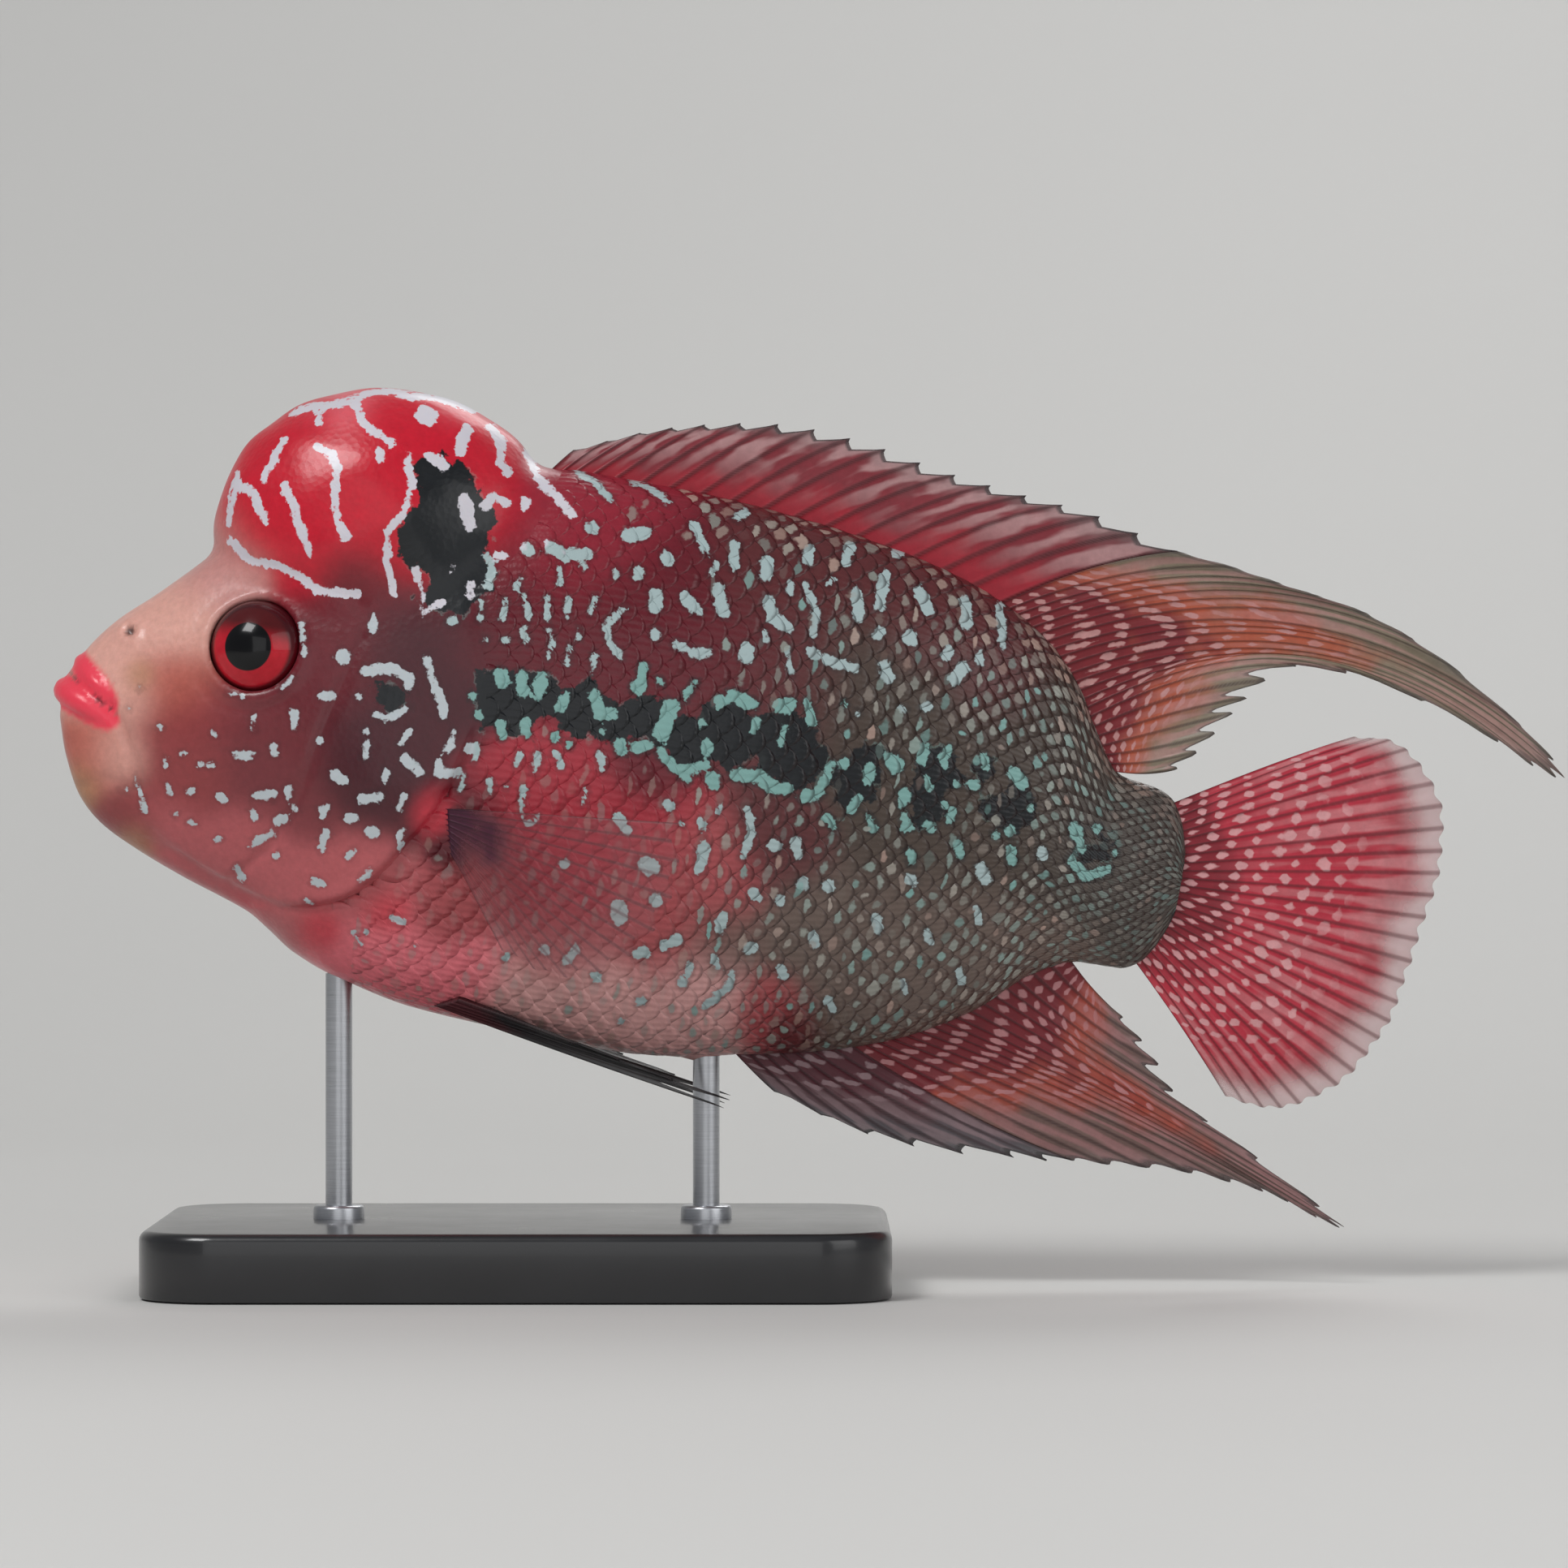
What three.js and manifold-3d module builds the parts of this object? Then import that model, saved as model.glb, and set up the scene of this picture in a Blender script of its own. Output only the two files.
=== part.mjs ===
// A life-size still model of a flowerhorn cichlid on a plain display stand.
// Units are millimetres. The fish is drawn in its own frame, nose at x = 0, tail towards +x, back towards +z
// and its left side towards -y, and is then pitched nose up and set on two rods above the base.

import * as THREE from "three";
import { mergeVertices } from "three/addons/utils/BufferGeometryUtils.js";
import Module from "manifold-3d";

const wasm = await Module();
wasm.setup();

// Driving dimensions of the fish
const PITCH_DEG = 10;
const GAP = 0.32;
const SIDES = 32;

// Height of the back and of the belly line above the body axis, by distance from the nose
const BACK = [
  [1.6, 5.2], [3, 8], [5.5, 12.2], [9.2, 16.7], [14.3, 21.4], [19.3, 26.4], [23.5, 30.6], [32, 36], [45, 42.5],
  [60, 48.6], [78, 55.6], [86, 57.2], [106, 57], [128, 55.4], [142, 53.4], [154, 50.8], [164, 47.3], [174, 41.6],
  [181, 34.5], [185.5, 27], [191, 20], [198, 18.8], [201, 17.4], [203.5, 13.5], [205.4, 7],
];
const BELLY = [
  [1.6, -3.4], [3.5, -9], [7.7, -16.6], [12, -20.4], [17.7, -23.3], [28.9, -27.6], [35.3, -29.6], [41, -31.6],
  [45, -34], [50, -37.2], [61, -41.2], [73, -43.6], [85, -44.4], [97, -44.8], [109, -45], [121, -44], [131.4, -41.8],
  [145, -38.9], [159, -34.2], [172.6, -26.4], [181.4, -18.4], [189.6, -14.6], [197, -14.4], [200.5, -12.6],
  [203.4, -8], [205.4, -2],
];
const HALF_WIDTH = [
  [1.6, 4.2], [4, 6.4], [9, 9.4], [16, 12.6], [26, 16], [36, 18.4], [50, 21], [66, 22.8], [80, 23.5], [96, 23.3],
  [112, 22.2], [128, 20.2], [144, 17.4], [160, 14], [174, 10.6], [186, 7.6], [196, 5.4], [205.4, 2.6],
];
// Shares of the ellipse's own width and height at a section: above 1 is squarer
const SECTION_SQUARENESS = 1.07;

// Where the section rings of the head and of the trunk stand
const HEAD_RINGS = [1.6, 2.5, 4, 6.5, 10, 14.5, 20, 26, 33, 41, 49, 57, 65, 73, 84];
const GILL_BED_RINGS = [28, 38, 48, 58, 68, 84];
const TRUNK_RINGS = [38, 44, 50, 56, 63, 70, 78, 86, 95, 105, 115, 125, 135, 144, 152, 160, 167, 173, 178, 183, 187];
const STALK_RINGS = [180, 184, 188, 192, 196, 199, 201.5, 203.5, 205.4];

// Gill cover: how far it stands out at its free edge, and how thick its plate is as a share of the half width
const GILL_FLARE = 0.9;
const GILL_FLARE_FROM = 36;
const GILL_INNER_SHARE = 0.87;

// The free edge of the gill covers, from the throat up to the nape, which also ends the head
const GILL_EDGE = [
  [40, -36], [42.5, -31], [51, -29], [60, -25], [67.4, -15.5], [74, -2.6], [76, 10], [72, 26], [73.5, 42], [80.5, 62],
];
// The front edge of the gill cover's plate, behind the cheek, from the throat up
const CHEEK_EDGE = [[37, -26.5], [45.5, -16], [49.8, 3], [53.6, 20.5], [60.5, 27.6], [69.2, 28.4]];

// Mouth: the line of the gape and the fold that runs down behind it, in the side view
const JAW_EDGE = [[-6, 9.2], [3.6, 5.2], [10.4, 0.9], [15.6, -5.6], [21.4, -16.4], [25.2, -30]];
const LIP_UPPER = { corner: [11.8, -9.3, 1.4], side: [7, -7.2, 4.6], front: [3.9, 0, 7.4], radius: 1.7 };
const LIP_LOWER = { corner: [11.4, -9.1, -2], side: [5, -6.6, 0.7], front: [1.9, 0, 2], radius: 2.5 };

// The nuchal hump is a tilted ellipsoid that the forehead carries
const HUMP = { centre: [53.3, 0, 40], radii: [30.6, 20.5, 25.9], tiltDeg: -8 };

const EYE = { centre: [35.4, 14.6, 15.3], radii: [8.5, 6, 8.5], swingDeg: 14 };
const NOSTRIL = { at: [11.8, 14.4], radius: 0.95 };

// Fins: every list runs from the first ray to the last. Tips and roots are [x, z] in the middle plane
const DORSAL_SPINES = {
  count: 18,
  root: [[80.5, 56], [87, 57.2], [97, 57.2], [110, 56.8], [124, 55.8], [138, 54], [151, 51.5], [163.5, 47.4]],
  tip: [
    [84, 60.4], [96, 65.8], [108, 69.4], [122, 71.6], [136, 70.8], [150, 68.3], [164, 66.6], [178.4, 65.2],
    [193, 61.9],
  ],
};
const DORSAL_SOFT = {
  root: [[165, 47], [169.5, 44.4], [174, 41.4], [178, 37.8], [181.4, 33.8], [184, 29.4], [187, 24.6], [190.6, 20.2]],
  tip: [
    [194, 61.2], [208.4, 59.4], [219.4, 57.9], [233, 54.7], [246.6, 49.4], [263.6, 38.6], [269.6, 33.2], [265.8, 33.6],
    [255.9, 37.6], [232.9, 44.6], [218.4, 44.6], [212.1, 39], [208.8, 34.3], [205.1, 28], [200.4, 22.9],
  ],
  bow: [0.11, 0.174, 0.239, 0.324, 0.302, 0.152, 0, -0.157],
  streamerFrom: 224,
};
const ANAL_SPINES = {
  count: 8,
  root: [[131.6, -41.5], [138, -40.5], [144.5, -39], [151.4, -37.4]],
  tip: [[139.6, -47], [155.4, -51.3], [170.5, -52.4], [186, -51], [193.2, -50.8]],
};
const ANAL_SOFT = {
  root: [[152.4, -36.6], [158.5, -34.4], [164.5, -31.4], [170, -28.2], [175.4, -23.8], [180.4, -19.4], [188.6, -15]],
  tip: [
    [194.5, -50], [205, -49.2], [217.2, -48.6], [228.1, -49.3], [236, -51.2], [244.2, -53.5], [242.9, -51.9],
    [224.4, -42.3], [211.4, -35.1], [205.5, -28.6], [199, -22.6],
  ],
  bow: [0.06, -0.04, -0.048, -0.011, 0.055, 0.134],
};
const CAUDAL = {
  root: [[200.6, 16.2], [203.6, 10], [205, 3], [205, -3], [203.4, -8.4], [199.6, -12.8]],
  tip: [
    [231.6, 34], [238, 34.6], [244.4, 31.4], [249.4, 24.6], [251, 16.6], [250.8, 8.4], [249.4, 0], [248.4, -8],
    [246.9, -15.4], [244, -22], [239.6, -28.4], [233.4, -32.8], [227, -34.8], [220, -33.6],
  ],
  sway: 5,
};
const PECTORAL = { rootTop: [75.4, -6.6], rootBottom: [77.2, -15.6], longest: 46, flareDeg: 25, rays: 9 };
const PELVIC = {
  root: [[79.6, -6.4, -42], [81.4, -8.6, -41.4], [83.6, -10.6, -40.4]],
  tip: [[131.2, -9.6, -51], [132, -9.2, -49.4], [121, -9.8, -47.6], [111, -10.8, -45.6], [103, -12, -44]],
};

// Stand
const BASE = { length: 132, width: 92, height: 12, corner: 14, bevel: 1.6 };
const BASE_CLEARANCE = 43;
const ROD_RADIUS = 2.4;
const ROD_AT = [59, 126.5];

// Smooth curve through [x, value] pairs that never overshoots them
function through(pairs) {
  const slopes = pairs.slice(1).map(([x, y], i) => (y - pairs[i][1]) / (x - pairs[i][0]));
  const tangents = pairs.map((_, i) => {
    const before = slopes[i - 1];
    const after = slopes[i];
    if (before === undefined) return after;
    if (after === undefined) return before;
    return before * after <= 0 ? 0 : (2 * before * after) / (before + after);
  });
  return (x) => {
    const last = pairs.length - 2;
    const found = pairs.findIndex(([at]) => at > x) - 1;
    const i = found < -1 ? last : Math.max(0, Math.min(last, found));
    const [x0, y0] = pairs[i];
    const [x1, y1] = pairs[i + 1];
    const span = x1 - x0;
    const t = Math.max(0, Math.min(1, (x - x0) / span));
    const rise = (1 + 2 * t) * (1 - t) ** 2 * y0 + t * t * (3 - 2 * t) * y1;
    return rise + span * (t * (1 - t) ** 2 * tangents[i] - t * t * (1 - t) * tangents[i + 1]);
  };
}

const backAt = through(BACK);
const bellyAt = through(BELLY);
const widthAt = through(HALF_WIDTH);

// Solids and meshes
function geometryFrom(points, triangles) {
  const geometry = new THREE.BufferGeometry();
  geometry.setAttribute("position", new THREE.Float32BufferAttribute(points.flat(), 3));
  geometry.setIndex(triangles.flat());
  return geometry;
}

function solidFrom(geometry) {
  const bare = geometry.clone();
  bare.deleteAttribute("normal");
  bare.deleteAttribute("uv");
  const merged = mergeVertices(bare, 1e-4);
  const vertProperties = merged.getAttribute("position").array;
  const triVerts = new Uint32Array(merged.index.array);
  const solid = new wasm.Manifold(new wasm.Mesh({ numProp: 3, vertProperties, triVerts }));
  if (solid.volume() > 0) return solid;
  for (let i = 0; i < triVerts.length; i += 3) {
    [triVerts[i + 1], triVerts[i + 2]] = [triVerts[i + 2], triVerts[i + 1]];
  }
  return new wasm.Manifold(new wasm.Mesh({ numProp: 3, vertProperties, triVerts }));
}

function largestOf(solid) {
  const bodies = solid.decompose();
  return bodies.reduce((best, body) => (body.volume() > best.volume() ? body : best));
}

function geometryOf(solid) {
  const mesh = solid.getMesh();
  const points = [];
  for (let i = 0; i < mesh.numVert; i++) {
    points.push([...mesh.vertProperties.subarray(i * mesh.numProp, i * mesh.numProp + 3)]);
  }
  return geometryFrom(points, [...mesh.triVerts]);
}

// Rings of equal length joined into one closed skin, with a fan at each end
function loft(rings) {
  const count = rings[0].length;
  const triangles = [];
  for (let r = 0; r < rings.length - 1; r++) {
    for (let k = 0; k < count; k++) {
      const a = r * count + k;
      const b = r * count + ((k + 1) % count);
      triangles.push([a, b, b + count], [a, b + count, a + count]);
    }
  }
  const points = rings.flat();
  for (const [ring, start] of [[rings[0], 0], [rings.at(-1), (rings.length - 1) * count]]) {
    const middle = ring.reduce((sum, p) => sum.map((v, i) => v + p[i] / count), [0, 0, 0]);
    points.push(middle);
    for (let k = 0; k < count; k++) {
      const pair = [start + k, start + ((k + 1) % count)];
      triangles.push(start ? [points.length - 1, ...pair] : [points.length - 1, pair[1], pair[0]]);
    }
  }
  return solidFrom(geometryFrom(points, triangles));
}

// One section ring of the body at x, grown outwards, with its width scaled and flared
function bodyRing(x, { grow = 0, share = 1, flare = 0, sides = SIDES } = {}) {
  const top = backAt(x) + grow;
  const bottom = bellyAt(x) - grow;
  const flareHere = flare * THREE.MathUtils.smoothstep(x, GILL_FLARE_FROM, GILL_FLARE_FROM + 24);
  const half = widthAt(x) * share + grow + flareHere;
  const ring = [];
  for (let k = 0; k < sides; k++) {
    const angle = (2 * Math.PI * k) / sides;
    const across = Math.sign(Math.cos(angle)) * Math.abs(Math.cos(angle)) ** (1 / SECTION_SQUARENESS);
    ring.push([x, half * across, (top + bottom) / 2 + ((top - bottom) / 2) * Math.sin(angle)]);
  }
  return ring;
}

const bodyLoft = (stations, options) => loft(stations.map((x) => bodyRing(x, options)));

// Half width of the body at a point of its side view
function sideAt(x, z) {
  const middle = (backAt(x) + bellyAt(x)) / 2;
  const reach = (backAt(x) - bellyAt(x)) / 2;
  const sine = Math.max(-1, Math.min(1, (z - middle) / reach));
  return widthAt(x) * Math.sqrt(1 - sine * sine) ** (1 / SECTION_SQUARENESS);
}

// A wall-to-wall block whose outline in the side view is given as [x, z] points
function block(outline, depth = 120) {
  const shape = new THREE.Shape(outline.map(([x, z]) => new THREE.Vector2(x, z)));
  const geometry = new THREE.ExtrudeGeometry(shape, { depth, bevelEnabled: false });
  return solidFrom(geometry.rotateX(Math.PI / 2).translate(0, depth / 2, 0));
}

// A smooth line through [x, z] points, moved sideways by an offset, to the right of its direction if positive
function smoothLine(points, offset = 0, steps = 2 * points.length) {
  const curve = new THREE.SplineCurve(points.map(([x, z]) => new THREE.Vector2(x, z)));
  return [...Array(steps + 1).keys()].map((i) => {
    const t = i / steps;
    const at = curve.getPoint(t);
    const along = curve.getTangent(t);
    return [at.x + along.y * offset, at.y - along.x * offset];
  });
}

function ellipsoid({ centre, radii, tiltDeg = 0, swingDeg = 0 }, grow = 0, widthSegments = 24, heightSegments = 16) {
  const ball = new THREE.SphereGeometry(1, widthSegments, heightSegments);
  ball.scale(radii[0] + grow, radii[1] + grow, radii[2] + grow);
  ball.rotateY(THREE.MathUtils.degToRad(tiltDeg));
  ball.rotateZ(THREE.MathUtils.degToRad(swingDeg));
  return solidFrom(ball.translate(...centre));
}

// A lip is a round bar bent round the front of the mouth, thinner towards its corners
function lip({ corner, side, front, radius }, grow = 0) {
  const mirrored = ([x, y, z]) => [x, -y, z];
  const points = [corner, side, front, mirrored(side), mirrored(corner)].map((p) => new THREE.Vector3(...p));
  const curve = new THREE.CatmullRomCurve3(points, false, "catmullrom");
  const steps = 16;
  const rings = [];
  for (let i = 0; i <= steps; i++) {
    const t = i / steps;
    const along = curve.getTangent(t);
    const across = new THREE.Vector3(0, 0, 1).cross(along).normalize();
    const up = along.clone().cross(across).normalize();
    const thickness = radius * (0.55 + 0.45 * Math.sin(Math.PI * t) ** 0.7) + grow;
    rings.push(
      [...Array(10).keys()].map((k) => {
        const angle = (2 * Math.PI * k) / 10;
        const point = curve.getPoint(t);
        point.addScaledVector(across, thickness * Math.cos(angle)).addScaledVector(up, thickness * Math.sin(angle));
        return point.toArray();
      }),
    );
  }
  return loft(rings);
}

// A fin: a membrane spread between curved rays, sunk into the body at its root
// root, tip: 3-D points that a smooth line joins; bow: how far each ray bends from straight, as a share of its length
function fin({ root, tip, rays, rows, bow, bowAlong, sink = 3, thickness, ridge = 0, notch, sway = 0 }) {
  const curveOf = (points) => new THREE.CatmullRomCurve3(points.map((p) => new THREE.Vector3(...p)), false, "catmullrom");
  const rootLine = curveOf(root);
  const tipLine = curveOf(tip);
  const bowAt = through(bow.map((value, i) => [i / (bow.length - 1), value]));
  const notchAt = through(notch.map((value, i) => [i / (notch.length - 1), value]));
  const bowAxis = new THREE.Vector3(...bowAlong);

  const middleAt = (u, v) => {
    const from = rootLine.getPoint(u);
    const to = tipLine.getPoint(u);
    const span = to.clone().sub(from);
    const control = from.clone().addScaledVector(span, 0.5);
    control.addScaledVector(bowAxis, bowAt(u) * span.length());
    const start = from.clone().addScaledVector(control.clone().sub(from).normalize(), -sink);
    const point = new THREE.Vector3()
      .addScaledVector(start, (1 - v) ** 2)
      .addScaledVector(control, 2 * v * (1 - v))
      .addScaledVector(to, v * v);
    point.y += sway * v * v;
    return point;
  };
  const normalAt = (u, v) => {
    const step = 1e-3;
    const across = middleAt(Math.min(1, u + step), v).sub(middleAt(Math.max(0, u - step), v));
    const along = middleAt(u, Math.min(1, v + step)).sub(middleAt(u, Math.max(0, v - step)));
    return across.cross(along).normalize();
  };

  const columns = [];
  for (let i = 0; i < rays; i++) {
    columns.push({ u: i / (rays - 1), onRay: 1 });
    if (i < rays - 1) {
      const shoulders = ridge ? [0.22, 0.78] : [0.5];
      for (const s of shoulders) columns.push({ u: (i + s) / (rays - 1), onRay: 0 });
    }
  }
  const front = [];
  const back = [];
  for (const { u, onRay } of columns) {
    const reach = 1 - (1 - onRay) * notchAt(u);
    for (let r = 0; r <= rows; r++) {
      const v = (reach * r) / rows;
      const middle = middleAt(u, v);
      const swell = THREE.MathUtils.lerp(thickness[0], thickness[1], Math.sqrt(v)) / 2;
      const half = swell + (onRay * ridge * (1 - 0.6 * v)) / 2;
      const out = normalAt(u, v).multiplyScalar(half);
      front.push(middle.clone().add(out).toArray());
      back.push(middle.clone().sub(out).toArray());
    }
  }
  const stride = rows + 1;
  const total = front.length;
  const triangles = [];
  const wall = (a, b) => triangles.push([a, b, b + total], [a, b + total, a + total]);
  for (let c = 0; c < columns.length - 1; c++) {
    for (let r = 0; r < rows; r++) {
      const a = c * stride + r;
      const b = a + stride;
      triangles.push([a, b, b + 1], [a, b + 1, a + 1]);
      triangles.push([a + total, b + 1 + total, b + total], [a + total, a + 1 + total, b + 1 + total]);
    }
    wall((c + 1) * stride, c * stride);
    wall(c * stride + rows, (c + 1) * stride + rows);
  }
  const lastColumn = (columns.length - 1) * stride;
  for (let r = 0; r < rows; r++) {
    wall(r, r + 1);
    wall(lastColumn + r + 1, lastColumn + r);
  }
  return solidFrom(geometryFrom([...front, ...back], triangles));
}

const inPlane = (points) => points.map(([x, z]) => [x, 0, z]);
const mirrored = (solid) => solid.mirror([0, 1, 0]);

// Flesh: the head and the trunk are lofts of one body, parted by thin curved cuts
const bounds = { left: -20, low: -90, high: 110, right: 240 };
const headSide = (offset) =>
  block([
    [bounds.left, bounds.low], [GILL_EDGE[0][0] + offset, bounds.low], ...smoothLine(GILL_EDGE, offset),
    [GILL_EDGE.at(-1)[0] + offset, bounds.high], [bounds.left, bounds.high],
  ]);
const jawSide = (offset) =>
  block([[bounds.left, bounds.low], [bounds.left, JAW_EDGE[0][1] + offset], ...smoothLine(JAW_EDGE, -offset),
    [JAW_EDGE.at(-1)[0] + offset, bounds.low]]);
const gillSide = (offset) =>
  block([...smoothLine(CHEEK_EDGE, -offset), [90, 29 + offset], [90, bounds.low], [37 - offset, bounds.low]]);

const trunkGrown = bodyLoft([...TRUNK_RINGS, 190], { grow: GAP });
const stalkGrown = bodyLoft(STALK_RINGS, { grow: GAP });
const humpSolid = ellipsoid(HUMP);
const humpGrown = ellipsoid(HUMP, GAP);
const eyeRight = ellipsoid(EYE, 0, 20, 12);
const eyePocket = ellipsoid(EYE, GAP, 20, 12);
const lipUpper = lip(LIP_UPPER);
const lipLower = lip(LIP_LOWER);
const lipHollow = lip(LIP_UPPER, GAP).add(lip(LIP_LOWER, GAP));
const nostril = ellipsoid({
  centre: [NOSTRIL.at[0], sideAt(...NOSTRIL.at), NOSTRIL.at[1]],
  radii: [NOSTRIL.radius, NOSTRIL.radius, NOSTRIL.radius],
}, 0, 8, 6);

const headWhole = bodyLoft(HEAD_RINGS, { flare: GILL_FLARE }).intersect(headSide(0));
const underGill = (grow) => bodyLoft(GILL_BED_RINGS, { share: GILL_INNER_SHARE, grow, sides: 20 });
const gillBoth = headWhole.intersect(gillSide(0)).subtract(underGill(0));
const gillBed = gillSide(GAP).subtract(underGill(-GAP));
const [leftHalf, rightHalf] = [-1, 1].map((side) =>
  solidFrom(new THREE.BoxGeometry(300, 60, 300).translate(60, side * 30.01, 0)),
);
const head = headWhole
  .subtract(gillBed)
  .subtract(jawSide(GAP))
  .subtract(lipHollow)
  .subtract(eyePocket.add(mirrored(eyePocket)))
  .subtract(nostril.add(mirrored(nostril)));
const jaw = headWhole.intersect(jawSide(0)).subtract(lipHollow);
const hump = humpSolid.subtract(bodyLoft(HEAD_RINGS, { grow: GAP, flare: GILL_FLARE })).subtract(trunkGrown);
const trunk = bodyLoft(TRUNK_RINGS).subtract(headSide(GAP)).subtract(block([
  [183, bounds.low], [bounds.right, bounds.low], [bounds.right, bounds.high], [183, bounds.high],
]));
const stalk = bodyLoft(STALK_RINGS).subtract(block([
  [bounds.left, bounds.low], [183 + GAP, bounds.low], [183 + GAP, bounds.high], [bounds.left, bounds.high],
]));

// Fins
const fleshGrown = trunkGrown.add(stalkGrown).add(humpGrown);
const dorsalThickness = [2.4, 0.6];
const dorsalSpiny = fin({
  root: inPlane(DORSAL_SPINES.root), tip: inPlane(DORSAL_SPINES.tip), rays: DORSAL_SPINES.count, rows: 4, ridge: 0.7,
  bow: [0.05, 0.08, 0.1], bowAlong: [0, 0, 1], thickness: dorsalThickness, notch: [0.14, 0.18, 0.2],
}).subtract(fleshGrown);
const dorsalSoftWhole = fin({
  root: inPlane(DORSAL_SOFT.root), tip: inPlane(DORSAL_SOFT.tip), rays: DORSAL_SOFT.tip.length, rows: 7, ridge: 0.6,
  bow: DORSAL_SOFT.bow, bowAlong: [0, 0, 1], thickness: dorsalThickness,
  notch: [0.04, 0.05, 0.03, 0.02, 0.1, 0.2, 0.24], sway: -3,
}).subtract(fleshGrown);
const streamerCut = (x) => block([[x, bounds.low], [300, bounds.low], [300, bounds.high], [x, bounds.high]]);
const dorsalSoft = dorsalSoftWhole.subtract(streamerCut(DORSAL_SOFT.streamerFrom - GAP));
const dorsalStreamer = dorsalSoftWhole.intersect(streamerCut(DORSAL_SOFT.streamerFrom));
const analSpiny = fin({
  root: inPlane(ANAL_SPINES.root), tip: inPlane(ANAL_SPINES.tip), rays: ANAL_SPINES.count, rows: 4, ridge: 0.7,
  bow: [0.04, 0.06, 0.06], bowAlong: [0, 0, -1], thickness: [2.2, 0.6], notch: [0.12, 0.16, 0.12],
}).subtract(fleshGrown);
const analSoft = fin({
  root: inPlane(ANAL_SOFT.root), tip: inPlane(ANAL_SOFT.tip), rays: ANAL_SOFT.tip.length, rows: 6, ridge: 0.6,
  bow: ANAL_SOFT.bow, bowAlong: [0, 0, -1], thickness: [2.2, 0.6],
  notch: [0.06, 0.05, 0.04, 0.14, 0.2], sway: 2,
}).subtract(fleshGrown);
const caudal = fin({
  root: inPlane(CAUDAL.root), tip: inPlane(CAUDAL.tip), rays: CAUDAL.tip.length, rows: 5, ridge: 0.7,
  bow: [0.03, 0, 0.03], bowAlong: [0, 0, 1], thickness: [2.4, 0.6], notch: [0.02, 0.04, 0.03], sway: CAUDAL.sway,
}).subtract(fleshGrown);

// The pectoral fan leaves the flank behind the gill cover and trails back, flared from the body
function pectoralFin() {
  const rootPoint = (share) => {
    const x = THREE.MathUtils.lerp(PECTORAL.rootTop[0], PECTORAL.rootBottom[0], share);
    const z = THREE.MathUtils.lerp(PECTORAL.rootTop[1], PECTORAL.rootBottom[1], share);
    return [x, -sideAt(x, z), z];
  };
  const flare = THREE.MathUtils.degToRad(PECTORAL.flareDeg);
  const shares = [0, 0.2, 0.4, 0.6, 0.8, 1];
  const tip = shares.map((share) => {
    const [x, y, z] = rootPoint(share);
    const reach = PECTORAL.longest * (0.95 + 0.3 * share - 0.85 * share * share);
    const dip = THREE.MathUtils.degToRad(6 - 56 * share);
    return [
      x + reach * Math.cos(dip) * Math.cos(flare),
      y - reach * Math.cos(dip) * Math.sin(flare),
      z + reach * Math.sin(dip),
    ];
  });
  return fin({
    root: shares.map(rootPoint), tip, rays: PECTORAL.rays, rows: 4, bow: [0.05, 0, -0.03], bowAlong: [0, -1, 0],
    sink: 2, thickness: [1.4, 0.5], ridge: 0.4, notch: [0.03, 0.05, 0.04],
  }).subtract(fleshGrown);
}
const pectoralLeft = pectoralFin();

const pelvicLeft = fin({
  root: PELVIC.root, tip: PELVIC.tip, rays: 5, rows: 6, bow: [0.02, 0, 0], bowAlong: [0, 0, -1], sink: 2.5,
  thickness: [1.6, 0.6], ridge: 0.5, notch: [0.3, 0.16, 0.14],
}).subtract(fleshGrown);

// Stand: the fish is pitched and lifted, and the rods reach up to its belly
const pitch = THREE.MathUtils.degToRad(PITCH_DEG);
const pitched = ([x, z]) => [x * Math.cos(pitch) + z * Math.sin(pitch), z * Math.cos(pitch) - x * Math.sin(pitch)];
const bellyPoints = ROD_AT.map((x) => pitched([x, bellyAt(x)]));
const noseX = pitched([LIP_LOWER.front[0] - LIP_LOWER.radius, LIP_LOWER.front[2]])[0];
const streamerX = pitched(DORSAL_SOFT.tip[6])[0];
const shiftX = -(noseX + streamerX) / 2;
const lift = BASE.height + BASE_CLEARANCE - bellyPoints[0][1];
const baseX = shiftX + (bellyPoints[0][0] + bellyPoints[1][0]) / 2;

function standBase() {
  const { length, width, height, corner, bevel } = BASE;
  const [x, y] = [length / 2 - bevel, width / 2 - bevel];
  const shape = new THREE.Shape();
  shape.moveTo(-x + corner, -y).lineTo(x - corner, -y).quadraticCurveTo(x, -y, x, -y + corner);
  shape.lineTo(x, y - corner).quadraticCurveTo(x, y, x - corner, y).lineTo(-x + corner, y);
  shape.quadraticCurveTo(-x, y, -x, y - corner).lineTo(-x, -y + corner);
  shape.quadraticCurveTo(-x, -y, -x + corner, -y);
  const geometry = new THREE.ExtrudeGeometry(shape, {
    depth: height - 2 * bevel, bevelThickness: bevel, bevelSize: bevel, bevelSegments: 1, curveSegments: 5,
  });
  return solidFrom(geometry.translate(baseX, 0, bevel));
}

const fleshInPlace = trunkGrown.rotate([0, PITCH_DEG, 0]).translate([shiftX, 0, lift]);
function standRod([beltX, beltZ]) {
  const length = beltZ + lift - BASE.height + 6;
  const bar = new THREE.CylinderGeometry(ROD_RADIUS, ROD_RADIUS, length, 20);
  bar.rotateX(Math.PI / 2).translate(beltX + shiftX, 0, BASE.height + GAP + length / 2);
  return solidFrom(bar).subtract(fleshInPlace);
}

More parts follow.
